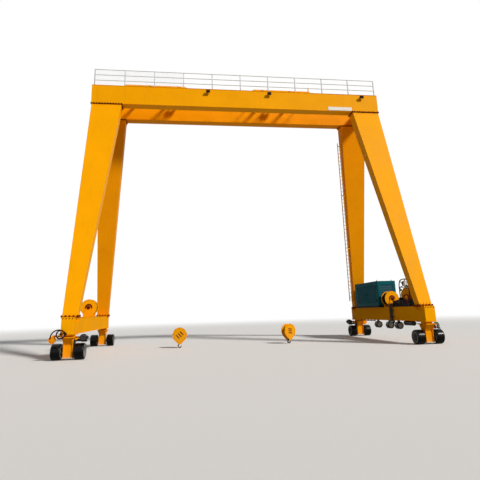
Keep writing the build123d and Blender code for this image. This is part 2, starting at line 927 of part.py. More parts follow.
# Rounded guard ring on a stem, at the inner side of the power pack
ring_x = track_half + guard_ring_offset
ring_middle = sill_top + guard_ring_lift + guard_ring_height / 2
ring_face = RectangleRounded(guard_ring_width, guard_ring_height, guard_ring_corner)
ring_face -= offset(ring_face, -guard_ring_bar)
guard_ring = Pos(ring_x, guard_ring_place, ring_middle) * extrude(
    Plane.XZ * ring_face, guard_ring_bar / 2, both=True
)
guard_ring += slab(
    ring_x - guard_ring_bar / 2, ring_x + guard_ring_bar / 2,
    guard_ring_place - guard_ring_bar / 2, guard_ring_place + guard_ring_bar / 2,
    sill_top, sill_top + guard_ring_lift + guard_ring_bar,
)
keep("guard_ring", guard_ring)

# Tubular hoop beside the power pack, with a round lamp and a smaller one on its cross bar, and a beacon
hoop_path = FilletPolyline(
    (hoop_x, hoop_near, sill_top),
    (hoop_x, hoop_near, hoop_top),
    (hoop_x, hoop_far, hoop_top),
    (hoop_x, hoop_far, sill_top),
    radius=hoop_corner,
)
hoop = sweep(Plane(origin=hoop_path @ 0, z_dir=hoop_path % 0) * Circle(hoop_tube_radius), path=hoop_path)
hoop_mid = (hoop_near + hoop_far) / 2
lamp_place = hoop_near + lamp_setback
hoop += rod_y(lamp_bar_radius, hoop_far - hoop_near, x=hoop_x, y=hoop_mid, z=lamp_bar_height)
hoop += slab(
    hoop_x - lamp_stem / 2, hoop_x + lamp_stem / 2, lamp_place - lamp_stem / 2, lamp_place + lamp_stem / 2,
    lamp_bar_height, lamp_height,
)
hoop += rod_y(lamp_radius, lamp_depth, x=hoop_x, y=lamp_place, z=lamp_height)
side_lamp_place = hoop_near + side_lamp_setback
hoop += rod_y(side_lamp_radius, side_lamp_depth, x=hoop_x, y=side_lamp_place, z=lamp_bar_height)
hoop += rod_y(lamp_bar_radius, beacon_reach, x=hoop_x, y=hoop_far - beacon_reach / 2, z=beacon_height)
hoop += rod_y(beacon_radius, side_lamp_depth, x=hoop_x, y=hoop_far - beacon_reach, z=beacon_height)
keep("lamp_hoop", hoop)

# Hoses from the power pack over the edge of the sill, held by two bars
hose_x = track_half - sill_width / 2 - hose_standoff
hose_z = sill_top + power_pack_height / 2
hoses = None
for index in range(hose_count):
    hose_y = hose_first + index * hose_pitch
    path = FilletPolyline(
        (pack_inner, hose_y, hose_z),
        (hose_x, hose_y, hose_z),
        (hose_x, hose_y, hose_bottom),
        radius=hose_bend,
    )
    tube = sweep(Plane(origin=path @ 0, z_dir=path % 0) * Circle(hose_radius), path=path)
    hoses = tube if hoses is None else hoses + tube
hose_row = (hose_first - hose_pitch / 2, hose_first + (hose_count - 1 / 2) * hose_pitch)
for level in hose_bar_levels:
    bar_z = sill_clearance + level * sill_height
    hoses += slab(
        hose_x, track_half - sill_width / 2 + flange_overhang, *hose_row,
        bar_z - hose_bar_half, bar_z + hose_bar_half,
    )
keep("hoses", hoses)

# Air tank and three round pods hung under the right sill
under = [
    rod_y(
        air_tank_radius, air_tank_length,
        x=track_half, y=air_tank_centre, z=sill_clearance - air_tank_radius,
    )
]
manifold = slab(
    hose_x - manifold_width / 2, hose_x + manifold_width / 2, *hose_row,
    hose_bottom - manifold_height, hose_bottom,
)
bracket_x = hose_x + hose_radius + swivel_gap
manifold += slab(
    bracket_x, bracket_x + 2 * manifold_bracket, *hose_row, hose_bottom - manifold_bracket, sill_clearance
)
under.append(manifold)
for pod_y in pod_places:
    pod = rod_y(pod_radius, pod_length, x=pod_x, y=pod_y, z=sill_clearance - pod_drop)
    pod += slab(
        pod_x - pod_stem_half, pod_x + pod_stem_half, pod_y - pod_stem_half, pod_y + pod_stem_half,
        sill_clearance - pod_drop, sill_clearance,
    )
    under.append(pod)
keep("under_sill_tanks", *under)


# Handrails along the outer edges of the girders
def handrail(end):
    post_y = end * (girder_outer - post_size)
    rail_half_length = girder_length / 2 - handrail_setback
    post_pitch = 2 * rail_half_length / bay_count
    body = None
    for index in range(bay_count + 1):
        x = -rail_half_length + index * post_pitch
        post = slab(
            x - post_size / 2, x + post_size / 2, post_y - post_size / 2, post_y + post_size / 2,
            girder_top, girder_top + handrail_height,
        )
        body = post if body is None else body + post
    for level in range(1, handrail_levels + 1):
        height = girder_top + level * handrail_height / handrail_levels - handrail_tube_radius
        body += rod_x(handrail_tube_radius, 2 * rail_half_length, y=post_y, z=height)
    return body


keep("handrail_front", handrail(-1))
keep("handrail_rear", handrail(1))


# Ladder along the inner edge of the rear right leg
def ladder():
    foot = Vector(leg_outer_foot - leg_foot_width, leg_foot_y, sill_top + joint_plate)
    head_y = girder_outer - leg_head_depth / 2
    head = Vector(leg_outer_head - leg_head_width, head_y, girder_bottom - joint_plate)
    run = (head - foot).normalized()
    local = Plane(origin=foot, x_dir=Vector(0, 1, 0), z_dir=run)
    length = ladder_top - ladder_bottom
    body = None
    for side in (-1, 1):
        stile = Pos(side * ladder_width / 2, ladder_standoff, ladder_bottom + length / 2) * Box(
            ladder_tube, ladder_tube, length
        )
        body = stile if body is None else body + stile
    rung_count = int(length // rung_pitch)
    for index in range(rung_count):
        rung_z = ladder_bottom + (index + 1 / 2) * rung_pitch
        body += rod_x(rung_radius, ladder_width, y=ladder_standoff, z=rung_z)
    for place in ladder_bracket_levels:
        level = ladder_bottom + place * length
        for side in (-1, 1):
            body += Pos(side * ladder_width / 2, (ladder_standoff + swivel_gap) / 2, level) * Box(
                ladder_tube, ladder_standoff - swivel_gap, ladder_tube
            )
    return local.location * body


keep("ladder", ladder())


# Floodlights on the front girder's outer face
floods = []
face_y = -girder_outer
for x in lamp_places:
    bracket_z = girder_top - flood_drop
    bracket = slab(
        x - flood_bracket_half, x + flood_bracket_half, face_y + flange_overhang, face_y - flood_arm,
        bracket_z, bracket_z + flood_bracket_thick,
    )
    housing = Rot(flood_tilt, 0, 0) * Box(flood_width, flood_depth, flood_height)
    floods.append(bracket + Pos(x, face_y - flood_arm, bracket_z - flood_height / 4) * housing)
keep("floodlights", *floods)
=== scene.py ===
import math

import bmesh
import bpy
from mathutils import Matrix, Vector
from mathutils.geometry import interpolate_bezier


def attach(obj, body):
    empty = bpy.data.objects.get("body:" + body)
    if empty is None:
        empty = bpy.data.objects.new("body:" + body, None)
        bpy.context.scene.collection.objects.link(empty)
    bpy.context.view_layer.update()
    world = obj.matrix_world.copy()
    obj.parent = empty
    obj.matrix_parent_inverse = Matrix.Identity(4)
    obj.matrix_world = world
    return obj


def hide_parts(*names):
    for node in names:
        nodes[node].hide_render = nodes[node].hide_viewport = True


# Rubber tyred gantry crane: X across the span, Y along the travel, Z up, in metres.
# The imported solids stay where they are; each section dresses one piece or one group of like pieces.
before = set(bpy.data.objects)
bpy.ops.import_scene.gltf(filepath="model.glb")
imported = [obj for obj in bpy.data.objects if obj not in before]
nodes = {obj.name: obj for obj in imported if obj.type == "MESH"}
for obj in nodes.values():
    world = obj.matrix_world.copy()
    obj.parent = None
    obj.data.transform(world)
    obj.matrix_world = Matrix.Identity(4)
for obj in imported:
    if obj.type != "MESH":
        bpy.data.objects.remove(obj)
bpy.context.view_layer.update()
scene = bpy.context.scene


# Camera: held at head height in front of the left half of the span, and looking up along the travel.
# The focal length and the centre of view are in pixels of the square picture.
picture_side = 480
focal_pixels = 428.6
centre_pixel = (239.75, 213.5)
eye = Vector((-4.170, -28.868, 2.121))
turn_right, tilt_up, roll = math.radians(7.976), math.radians(12.931), math.radians(-1.804)

camera = bpy.data.objects.new("camera", bpy.data.cameras.new("camera"))
scene.collection.objects.link(camera)
camera.data.sensor_width = 36
camera.data.lens = camera.data.sensor_width * focal_pixels / picture_side
camera.data.shift_x = (picture_side / 2 - centre_pixel[0]) / picture_side
camera.data.shift_y = (centre_pixel[1] - picture_side / 2) / picture_side
camera.data.clip_end = 500
camera.matrix_world = (
    Matrix.Translation(eye)
    @ Matrix.Rotation(-turn_right, 4, "Z")
    @ Matrix.Rotation(math.pi / 2 + tilt_up, 4, "X")
    @ Matrix.Rotation(roll, 4, "Z")
)
scene.camera = camera


# Light: one large soft lamp from the front right and above, with an even pale surround.
# The surround is white to the eye and in reflections, and dimmer as a lamp.
def add(tree, kind, inputs=(), **settings):
    """One node of a tree, with its settings and its inputs: each a value or another node's output."""
    made = tree.nodes.new(kind)
    for setting, value in settings.items():
        setattr(made, setting, value)
    for socket, source in dict(inputs).items():
        if isinstance(source, bpy.types.NodeSocket):
            tree.links.new(source, made.inputs[socket])
        else:
            made.inputs[socket].default_value = source
    return made


def maths(tree, operation, *terms, clamp=False):
    """The result of two or three terms, each a value or another node's output."""
    made = add(tree, "ShaderNodeMath", enumerate(terms), operation=operation, use_clamp=clamp)
    return made.outputs[0]


lamp = bpy.data.objects.new("soft_sun", bpy.data.lights.new("soft_sun", "SUN"))
scene.collection.objects.link(lamp)
lamp.data.energy = 3.4
lamp.data.angle = math.radians(9)
lamp.data.color = (1.0, 0.975, 0.93)
lamp_from = Vector((0.56, -0.62, 0.62))
lamp.rotation_mode = "QUATERNION"
lamp.rotation_quaternion = lamp_from.to_track_quat("Z", "Y")

scene.view_settings.view_transform = "Standard"
world = bpy.data.worlds.new("studio")
scene.world = world
world.use_nodes = True
tree = world.node_tree
tree.nodes.clear()
seen = add(tree, "ShaderNodeBackground", {"Color": (1, 1, 1, 1), "Strength": 1.0})
fill = add(tree, "ShaderNodeBackground", {"Color": (0.90, 0.95, 1.0, 1), "Strength": 0.13})
path = add(tree, "ShaderNodeLightPath")
direct = maths(tree, "MAXIMUM", path.outputs["Is Camera Ray"], path.outputs["Is Glossy Ray"])
shown = maths(tree, "MAXIMUM", direct, path.outputs["Is Transmission Ray"])
mix = add(tree, "ShaderNodeMixShader", {"Fac": shown, 1: fill.outputs[0], 2: seen.outputs[0]})
add(tree, "ShaderNodeOutputWorld", {"Surface": mix.outputs[0]})


# Floor: a wide pale slab that keeps the crane's shadow and fades to white far away.
# It is paler to the eye than as a reflector, so that the undersides stay in shade.
floor_half = 400
fade_start, fade_end = 30, 90
bm = bmesh.new()
bmesh.ops.create_grid(bm, x_segments=1, y_segments=1, size=floor_half)
floor_mesh = bpy.data.meshes.new("floor")
bm.to_mesh(floor_mesh)
bm.free()
floor = bpy.data.objects.new("floor", floor_mesh)
scene.collection.objects.link(floor)
pale = bpy.data.materials.new("pale_floor")
pale.use_nodes = True
tree = pale.node_tree
slab_skin = tree.nodes["Principled BSDF"]
slab_skin.inputs["Roughness"].default_value = 0.85
path = add(tree, "ShaderNodeLightPath")
tint = add(tree, "ShaderNodeMixRGB", {"Fac": path.outputs["Is Camera Ray"], "Color1": (0.42, 0.41, 0.39, 1),
                                      "Color2": (0.80, 0.79, 0.78, 1)})
tree.links.new(tint.outputs["Color"], slab_skin.inputs["Base Color"])
place = add(tree, "ShaderNodeTexCoord")
reach = add(tree, "ShaderNodeVectorMath", {0: place.outputs["Object"]}, operation="LENGTH")
fade = add(tree, "ShaderNodeMapRange",
           {"Value": reach.outputs["Value"], "From Min": fade_start, "From Max": fade_end},
           interpolation_type="SMOOTHSTEP")
seen_far = maths(tree, "MULTIPLY", fade.outputs["Result"], path.outputs["Is Camera Ray"])
white = add(tree, "ShaderNodeEmission")
mix = add(tree, "ShaderNodeMixShader", {"Fac": seen_far, 1: slab_skin.outputs[0], 2: white.outputs[0]})
tree.links.new(mix.outputs[0], tree.nodes["Material Output"].inputs["Surface"])
floor.data.materials.append(pale)


# Girders and end ties: box beams welded from plate, butt welded every few metres along their length.
# They are blasted and sprayed with yellow two-pack gloss, which has thin rain streaks on it.
def card(red, green, blue):
    """A colour as it reads on a paint card, 0 to 255, as the renderer's linear value."""
    def linear(value):
        value /= 255
        return value / 12.92 if value <= 0.04045 else ((value + 0.055) / 1.055) ** 2.4
    return (linear(red), linear(green), linear(blue), 1)


COLOUR, NUMBER, VECTOR = "NodeSocketColor", "NodeSocketFloat", "NodeSocketVector"
COLOUR_IN = ("Colour", COLOUR, (0.8, 0.8, 0.8, 1))


def effect(name, inputs, outputs):
    """An empty effect group with named sockets: the group, its two end nodes, and its Object place."""
    group = bpy.data.node_groups.new(name, "ShaderNodeTree")
    for title, kind, value in inputs:
        group.interface.new_socket(title, in_out="INPUT", socket_type=kind).default_value = value
    for title, kind in outputs:
        group.interface.new_socket(title, in_out="OUTPUT", socket_type=kind)
    here = add(group, "ShaderNodeTexCoord").outputs["Object"]
    return group, group.nodes.new("NodeGroupInput"), group.nodes.new("NodeGroupOutput"), here


def give(end, **results):
    """The wires into an effect group's outputs."""
    for title, source in results.items():
        end.id_data.links.new(source, end.inputs[title])


def noise(tree, vector, scale, detail=2.0, roughness=0.5):
    """Soft random patches, as a value over the surface."""
    made = add(tree, "ShaderNodeTexNoise",
               {"Vector": vector, "Scale": scale, "Detail": detail, "Roughness": roughness})
    return made.outputs["Fac"]


def ranged(tree, value, low, high, to_low=0.0, to_high=1.0, smooth=False):
    """A value between low and high, brought to between to_low and to_high."""
    made = add(tree, "ShaderNodeMapRange",
               {"Value": value, "From Min": low, "From Max": high, "To Min": to_low, "To Max": to_high},
               interpolation_type="SMOOTHSTEP" if smooth else "LINEAR")
    return made.outputs["Result"]


def blended(tree, mask, colour, other):
    """One colour where the mask is 0, and the other where it is 1."""
    return add(tree, "ShaderNodeMixRGB", {"Fac": mask, "Color1": colour, "Color2": other}).outputs["Color"]


film, start, end, here = effect(
    "paint_film",
    [COLOUR_IN, ("Variation", NUMBER, 0.08), ("Grain", NUMBER, 95.0)],
    [("Colour", COLOUR), ("Roughness", NUMBER), ("Height", NUMBER)],
)
cloud = noise(film, here, 0.7, detail=4.0, roughness=0.55)
level = maths(film, "MULTIPLY_ADD", ranged(film, cloud, 0.3, 0.7, -1.0, 1.0), start.outputs["Variation"], 1.0)
tinted = add(film, "ShaderNodeHueSaturation", {"Color": start.outputs["Colour"], "Value": level})
give(end, Colour=tinted.outputs["Color"], Roughness=ranged(film, cloud, 0.3, 0.7, -0.05, 0.07),
     Height=noise(film, here, start.outputs["Grain"]))

dust, start, end, here = effect(
    "road_dust",
    [COLOUR_IN, ("Dust Colour", COLOUR, card(176, 164, 144)), ("Reach", NUMBER, 1.5),
     ("Amount", NUMBER, 0.5)],
    [("Colour", COLOUR), ("Mask", NUMBER)],
)
split = add(dust, "ShaderNodeSeparateXYZ", {0: here})
low = ranged(dust, split.outputs["Z"], start.outputs["Reach"], 0.0, smooth=True)
spots = ranged(dust, noise(dust, here, 3.2, detail=6.0, roughness=0.65), 0.35, 0.7)
mask = maths(dust, "MULTIPLY", maths(dust, "MULTIPLY", low, spots), start.outputs["Amount"], clamp=True)
give(end, Colour=blended(dust, mask, start.outputs["Colour"], start.outputs["Dust Colour"]), Mask=mask)

streaks, start, end, here = effect(
    "rain_streaks",
    [COLOUR_IN, ("Stain", COLOUR, card(110, 70, 30)), ("Amount", NUMBER, 0.2)],
    [("Colour", COLOUR)],
)
stretch = add(streaks, "ShaderNodeMapping", {"Vector": here, "Scale": (5.0, 5.0, 0.28)})
runs = noise(streaks, stretch.outputs["Vector"], 1.0, detail=5.0, roughness=0.6)
mask = maths(streaks, "MULTIPLY", ranged(streaks, runs, 0.56, 0.78), start.outputs["Amount"], clamp=True)
give(end, Colour=blended(streaks, mask, start.outputs["Colour"], start.outputs["Stain"]))

weld, start, end, here = effect(
    "butt_weld",
    [("Along", VECTOR, (1.0, 0.0, 0.0)), ("Spacing", NUMBER, 2.9), ("Width", NUMBER, 0.02)],
    [("Height", NUMBER)],
)
run = add(weld, "ShaderNodeVectorMath", {0: here, 1: start.outputs["Along"]}, operation="DOT_PRODUCT")
fold = maths(weld, "PINGPONG", run.outputs["Value"], start.outputs["Spacing"])
bead = ranged(weld, fold, start.outputs["Width"], 0.0, smooth=True)
give(end, Height=maths(weld, "MULTIPLY", bead, noise(weld, here, 60.0, detail=1.0)))


def placed(tree, group, inputs):
    """An effect group in a material, with its inputs."""
    return add(tree, "ShaderNodeGroup", inputs, node_tree=group)


def painted(name, colour, roughness=0.45, variation=0.05, stain=0.1, dust_reach=1.4, dust_amount=0.3,
            grain=95.0, bump=0.0004, seams=None, metallic=0.0, gloss=0.03):
    """A coated surface: film, rain streaks, road dust, and a bump of the coat's texture and seams."""
    material = bpy.data.materials.new(name)
    material.use_nodes = True
    tree = material.node_tree
    skin = tree.nodes["Principled BSDF"]
    coat = placed(tree, film, {"Colour": colour, "Variation": variation, "Grain": grain})
    wet = placed(tree, streaks, {"Colour": coat.outputs["Colour"], "Amount": stain})
    dirt = placed(tree, dust, {"Colour": wet.outputs["Colour"], "Reach": dust_reach, "Amount": dust_amount})
    shine = maths(tree, "ADD", coat.outputs["Roughness"], roughness)
    dull = maths(tree, "MULTIPLY_ADD", dirt.outputs["Mask"], 0.35, shine, clamp=True)
    normal = add(tree, "ShaderNodeBump",
                 {"Height": coat.outputs["Height"], "Distance": bump, "Strength": 0.5})
    if seams:
        along, spacing = seams
        beads = placed(tree, weld, {"Along": along, "Spacing": spacing})
        normal = add(tree, "ShaderNodeBump", {"Height": beads.outputs["Height"], "Distance": 0.006,
                                              "Strength": 0.8, "Normal": normal.outputs["Normal"]})
    skin.inputs["Metallic"].default_value = metallic
    skin.inputs["Specular IOR Level"].default_value = gloss
    tree.links.new(dirt.outputs["Colour"], skin.inputs["Base Color"])
    tree.links.new(dull, skin.inputs["Roughness"])
    tree.links.new(normal.outputs["Normal"], skin.inputs["Normal"])
    return material


def dress(names, material, edge=0.003):
    """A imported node's finish: its material, its edges eased a little, and its round faces smooth."""
    for name in names:
        node = nodes[name]
        node.data.materials.clear()
        node.data.materials.append(material)
        node.data.polygons.foreach_set("use_smooth", [True] * len(node.data.polygons))
        node.modifiers.new("joined", "WELD").merge_threshold = 0.00001
        if edge:
            eased = node.modifiers.new("eased", "BEVEL")
            eased.width = edge
            eased.segments = 2
            eased.limit_method = "ANGLE"
            eased.angle_limit = math.radians(30)
        node.modifiers.new("even", "WEIGHTED_NORMAL").keep_sharp = True
    return material


crane_yellow = card(251, 168, 3)
# The rear girder's deeper yellow is painted shade; its real coat is the same as the front girder's.
for row, title, colour in (("front", "girder_paint", crane_yellow),
                           ("rear", "rear_girder_painted_shade", card(249, 157, 3))):
    dress([f"girder_{row}"], painted(title, colour, seams=((1, 0, 0), 3.4), dust_amount=0.0), edge=0.004)
tie_paint = dress(["end_ties"], painted("tie_paint", crane_yellow, dust_amount=0.0))


# Bare plate: a white enamelled sheet riveted to the front girder near its right end.
# Its edges are rounded off, and nothing is written on it.
def piece(name, bm, material, body, sharp=35, clean=False):
    """A finished piece: its mesh in place, its material, and the body that it moves with."""
    if clean:
        bmesh.ops.remove_doubles(bm, verts=bm.verts, dist=0.00001)
        bmesh.ops.recalc_face_normals(bm, faces=bm.faces)
    mesh = bpy.data.meshes.new(name)
    bm.to_mesh(mesh)
    bm.free()
    mesh.polygons.foreach_set("use_smooth", [True] * len(mesh.polygons))
    mesh.set_sharp_from_angle(angle=math.radians(sharp))
    mesh.materials.append(material)
    made = bpy.data.objects.new(name, mesh)
    scene.collection.objects.link(made)
    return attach(made, body)


def bar(bm, start, end, radius, segments=16, radius_end=None):
    """A round bar or a cone between two points."""
    start, end = Vector(start), Vector(end)
    run = end - start
    turn = run.to_track_quat("Z", "Y").to_matrix().to_4x4()
    return bmesh.ops.create_cone(
        bm, cap_ends=True, segments=segments, radius1=radius,
        radius2=radius if radius_end is None else radius_end, depth=run.length,
        matrix=Matrix.Translation((start + end) / 2) @ turn)["verts"]


def block(bm, first, second, ease=0.003, turn=None):
    """A plate or bar between two opposite corners, with its edges eased."""
    first, second = Vector(first), Vector(second)
    size = Vector([abs(value) for value in second - first])
    verts = bmesh.ops.create_cube(bm, size=1)["verts"]
    bmesh.ops.scale(bm, vec=size, verts=verts)
    bmesh.ops.translate(bm, vec=(first + second) / 2, verts=verts)
    if turn:
        bmesh.ops.transform(bm, matrix=turn, verts=verts)
    if ease:
        edges = list({edge for vert in verts for edge in vert.link_edges})
        bmesh.ops.bevel(bm, geom=edges, offset=ease, offset_type="OFFSET", affect="EDGES", segments=1,
                        profile=0.5, material=-1)


plate_enamel = painted("plate_enamel", card(238, 236, 226), roughness=0.3, variation=0.03, dust_amount=0.0)
plate_start, plate_end = Vector((6.35, -1.5345, 16.12)), Vector((8.14, -1.539, 16.39))
rivet_rise, rivet_radius, rivet_crown = 0.006, 0.011, 0.007
bm = bmesh.new()
block(bm, plate_start, plate_end, ease=0.0018)
for along in (0.0555, 0.3453, 0.6351, 0.9203):
    for up in (0.12, 0.88):
        spot = Vector((plate_start.x + along * (plate_end.x - plate_start.x), plate_end.y,
                       plate_start.z + up * (plate_end.z - plate_start.z)))
        bar(bm, spot, spot - Vector((0, rivet_rise, 0)), rivet_radius, segments=12, radius_end=rivet_crown)
piece("bare_plate", bm, plate_enamel, "gantry")


# Legs: tapered boxes of plate with a thick end plate at the top and the foot, painted as the girders.
# Bolts go through the end plates, between gussets welded to the walls; their dark red-brown is primer and
# painted shade round the heads.
def bolt(bm, place, axis, across=0.038, rise=0.02):
    """A hexagon bolt head with its washer, standing on a face along the axis."""
    place, axis = Vector(place), Vector(axis).normalized()
    bar(bm, place, place + axis * rise * 0.2, across * 0.68, segments=10)
    bar(bm, place + axis * rise * 0.2, place + axis * rise, across / math.sqrt(3), segments=6,
        radius_end=across / math.sqrt(3) * 0.94)


def gusset(bm, root, out, reach, height, lean=(0, 0)):
    """A stiffener against a wall: its full reach at the plate, and a narrow tip along the leaning wall."""
    root, out = Vector(root), Vector(out)
    across = Vector((-out.y, out.x, 0))
    for vert in bmesh.ops.create_cube(bm, size=1)["verts"]:
        away, side, up = vert.co.x + 0.5, vert.co.y, vert.co.z + 0.5
        rise = Vector((lean[0] * up * height, lean[1] * up * height, up * height))
        vert.co = root + out * away * reach * (1 - 0.8 * up) + across * side * 0.014 + rise


def on_side(middle, along, length, away, share, face, height):
    """A point on a side of a level rectangle: at a share of that side's length, so far from the middle."""
    spot = Vector((*middle, height))
    spot[along] += length * (share - 0.5)
    spot[1 - along] += face * away
    return spot


joint, start, end, here = effect(
    "plate_joint",
    [COLOUR_IN, ("Primer", COLOUR, card(104, 40, 12)), ("Level", NUMBER, 16.0),
     ("Half Height", NUMBER, 0.05)],
    [("Colour", COLOUR)],
)
split = add(joint, "ShaderNodeSeparateXYZ", {0: here})
wander = maths(joint, "MULTIPLY_ADD", noise(joint, here, 9.0, detail=3.0), 0.03, split.outputs["Z"])
inside = maths(joint, "COMPARE", wander, start.outputs["Level"], start.outputs["Half Height"])
give(end, Colour=blended(joint, inside, start.outputs["Colour"], start.outputs["Primer"]))


def jointed(material, level, half, primer):
    """A band of another colour round a plate's edge, at one level of a painted material."""
    tree = material.node_tree
    colour = tree.nodes["Principled BSDF"].inputs["Base Color"]
    line = placed(tree, joint, {"Colour": colour.links[0].from_socket, "Level": level, "Half Height": half,
                                "Primer": primer})
    tree.links.new(line.outputs["Colour"], colour)


leg_paints = {}
# The rear legs' deeper yellow is painted shade; their real coat is the same as the front legs'.
for row, colour, top_primer in (("front", crane_yellow, card(104, 40, 12)),
                                ("rear", card(246, 155, 4), card(176, 98, 10))):
    leg_paints[row] = painted(f"leg_paint_{row}", colour, seams=((0, 0, 1), 3.1), dust_reach=2.9,
                              dust_amount=0.02)
    # At the leg head the band is bare primer at the plate's edge and painted shade under the plate; on the
    # rear legs it is paler.
    jointed(leg_paints[row], level=16.055, half=0.045, primer=top_primer)
    jointed(leg_paints[row], level=2.163, half=0.02, primer=card(140, 62, 12))
# Bolt heads are dark red-brown primer, made dark enough to be also the painted shade round them.
bolt_primer_and_shade = painted("bolt_primer_and_shade", card(108, 38, 16), roughness=0.55, variation=0.2, dust_amount=0.1)
track, base = 9.9, 4.9
corners = (("front_left", -1, -1), ("front_right", 1, -1), ("rear_left", -1, 1), ("rear_right", 1, 1))
bolt_offset, bolt_pitch = 0.0225, 0.18
plate_thick = 0.034
gusset_reach, gusset_height = 0.042, 0.2
girder_outer, sill_reach = 1.54, 0.33
# level of the plate, half size and middle of the leg's section there, along X and Y, for the right rear leg
leg_foot = (2.165, 0.3775, 0.266, 9.9015, 4.806)
leg_head = (16.037, 0.9705, 0.3495, 9.1515, 1.1855)
taper = [(head - foot) / (leg_head[0] - leg_foot[0]) for foot, head in zip(leg_foot, leg_head)]
for name, side, end in corners:
    leg_paint = leg_paints[name.split("_")[0]]
    dress([f"leg_{name}"], leg_paint, edge=0.004)
    bolts = bmesh.new()
    webs = bmesh.new()
    for level, *walls, middle_x, middle_y in (leg_foot, leg_head):
        foot = level == leg_foot[0]
        top = level if foot else level + plate_thick
        middle = (side * middle_x, end * middle_y)
        sizes = [2 * (wall + bolt_offset) for wall in walls]
        for along, length in enumerate(sizes):
            count = round(length / bolt_pitch)
            away = sizes[1 - along] / 2
            for k in range(count + 1):
                if along and k in (0, count):
                    continue
                for face in (-1, 1):
                    place = on_side(middle, along, length, away, k / count, face, top)
                    if foot:
                        bolt(bolts, place, (0, 0, 1), across=0.078, rise=0.07)
                    elif abs(place.y) > girder_outer:
                        bolt(bolts, place, (0, 0, 1), across=0.066, rise=0.045)
                    if not (foot and abs(abs(place.x) - track) < sill_reach):
                        under = place - Vector((0, 0, plate_thick))
                        bolt(bolts, under, (0, 0, -1), across=0.066, rise=0.045)
            for k in range(count):
                for face in (-1, 1):
                    root = on_side(middle, along, length, walls[1 - along], (k + 0.5) / count, face, level)
                    out = (face, 0, 0) if along else (0, face, 0)
                    lean = [side * taper[3], end * taper[4]]
                    lean[1 - along] += face * taper[2 - along]
                    height = gusset_height if foot else -gusset_height
                    gusset(webs, root, out, gusset_reach, height, lean=lean)
    piece(f"leg_bolts_{name}", bolts, bolt_primer_and_shade, "gantry")
    piece(f"leg_gussets_{name}", webs, leg_paint, "gantry", clean=True)


# Sills: low box beams along the travel that carry the legs, the winches and the generator set.
# Gussets stand under the overhang of each leg's foot plate, and the box ends are closed by plates.
sill_paint = painted("sill_paint", crane_yellow, roughness=0.6, seams=((0, 1, 0), 2.7), dust_reach=1.6,
                     dust_amount=0.03, gloss=0.01)
dress(["sill_left", "sill_right"], sill_paint)
sill_half, sill_end, sill_top = 0.32, 5.42, 2.131
end_bolt_z, overhang_reach, overhang_drop = 2.06, 0.095, 0.26
bm = bmesh.new()
plugs = bmesh.new()
for name, side, end in corners:
    for y in (4.62, 4.80, 4.98):
        for face in (-1, 1):
            root = (side * track + face * sill_half, end * y, sill_top)
            gusset(bm, root, (face, 0, 0), overhang_reach, -overhang_drop)
    for x in (-0.24, -0.08, 0.08, 0.24):
        bolt(plugs, (side * track + x, end * sill_end, end_bolt_z), (0, end, 0), across=0.045, rise=0.022)
piece("sill_gussets", bm, sill_paint, "gantry", clean=True)
piece("sill_end_bolts", plugs, bolt_primer_and_shade, "gantry")


# Knuckles: the slewing ring half, head plate, twin side plates with a web between, and jacking foot.
# They are welded up and painted yellow; ring bolts and bearing cover bolts stay in primer.
def bolt_circle(bm, centre, axis, radius, count, across, rise, start=0.0):
    """Evenly spaced bolts about an axis; start turns them by a share of their spacing."""
    centre, axis = Vector(centre), Vector(axis)
    first = Vector((0, 1, 0)) if axis.x else Vector((1, 0, 0))
    second = Vector((0, 1, 0)) if axis.z else Vector((0, 0, 1))
    for k in range(count):
        angle = 2 * math.pi * (k + start) / count
        spot = centre + radius * (math.cos(angle) * first + math.sin(angle) * second)
        bolt(bm, spot, axis, across=across, rise=rise)


knuckle_paint = painted("knuckle_paint", card(246, 156, 5), dust_reach=0.5, dust_amount=0.2)
# A pale band runs round the jacking foot plate at the foot of each knuckle.
jointed(knuckle_paint, level=0.125, half=0.022, primer=card(206, 190, 160))
dress([f"knuckle_{name}" for name, side, end in corners], knuckle_paint)
axle_height, ring_under, boss_face = 0.41, 1.1017, 0.255
ring_bolt_radius, boss_bolt_radius = 0.27, 0.108
chain_case_sides = (("front_left", 1), ("rear_right", -1))
for name, side, end in corners:
    x, y = side * track, end * base
    bm = bmesh.new()
    bolt_circle(bm, (x, y, ring_under), (0, 0, -1), ring_bolt_radius, 24, across=0.03, rise=0.02, start=0.5)
    for face in (-1, 1):
        if (name, face) not in chain_case_sides:
            boss = (x + face * boss_face, y, axle_height)
            bolt_circle(bm, boss, (face, 0, 0), boss_bolt_radius, 8, across=0.022, rise=0.012, start=0.5)
    piece(f"ring_bolts_{name}", bm, bolt_primer_and_shade, f"bogie_{name}")


# Steering and brake hoses of the idle front right bogie: black rubber, from a bracket on its column.
# They hang clear over the outer wheel to a small dark red valve.
def tube(bm, points, radius):
    """A hose or pipe along points, with closed ends."""
    points = [Vector(point) for point in points]
    runs = [(after - before).normalized() for before, after in zip(points, points[1:])]
    last = None
    for index, point in enumerate(points):
        heading = runs[min(index, len(runs) - 1)] + runs[max(index - 1, 0)]
        turn = heading.to_track_quat("Z", "Y").to_matrix().to_4x4()
        loop = set(bmesh.ops.create_circle(
            bm, cap_ends=index in (0, len(points) - 1), radius=radius, segments=10,
            matrix=Matrix.Translation(point) @ turn)["verts"])
        edges = {edge for vert in loop for edge in vert.link_edges if edge.other_vert(vert) in loop}
        if last:
            bmesh.ops.bridge_loops(bm, edges=list(last | edges))
        last = edges


def turned(bm, profile, centre, axis, segments=48, closed=False):
    """A shape turned about an axis through the centre, from points along and away from that axis."""
    centre, axis = Vector(centre), Vector(axis).normalized()
    side = axis.orthogonal().normalized()
    verts = [bm.verts.new(centre + axis * along + side * out) for along, out in profile]
    pairs = list(zip(verts, verts[1:])) + ([(verts[-1], verts[0])] if closed else [])
    edges = [bm.edges.new(pair) for pair in pairs]
    bmesh.ops.spin(bm, geom=verts + edges, cent=centre, axis=axis, angle=2 * math.pi, steps=segments,
                   use_merge=True)


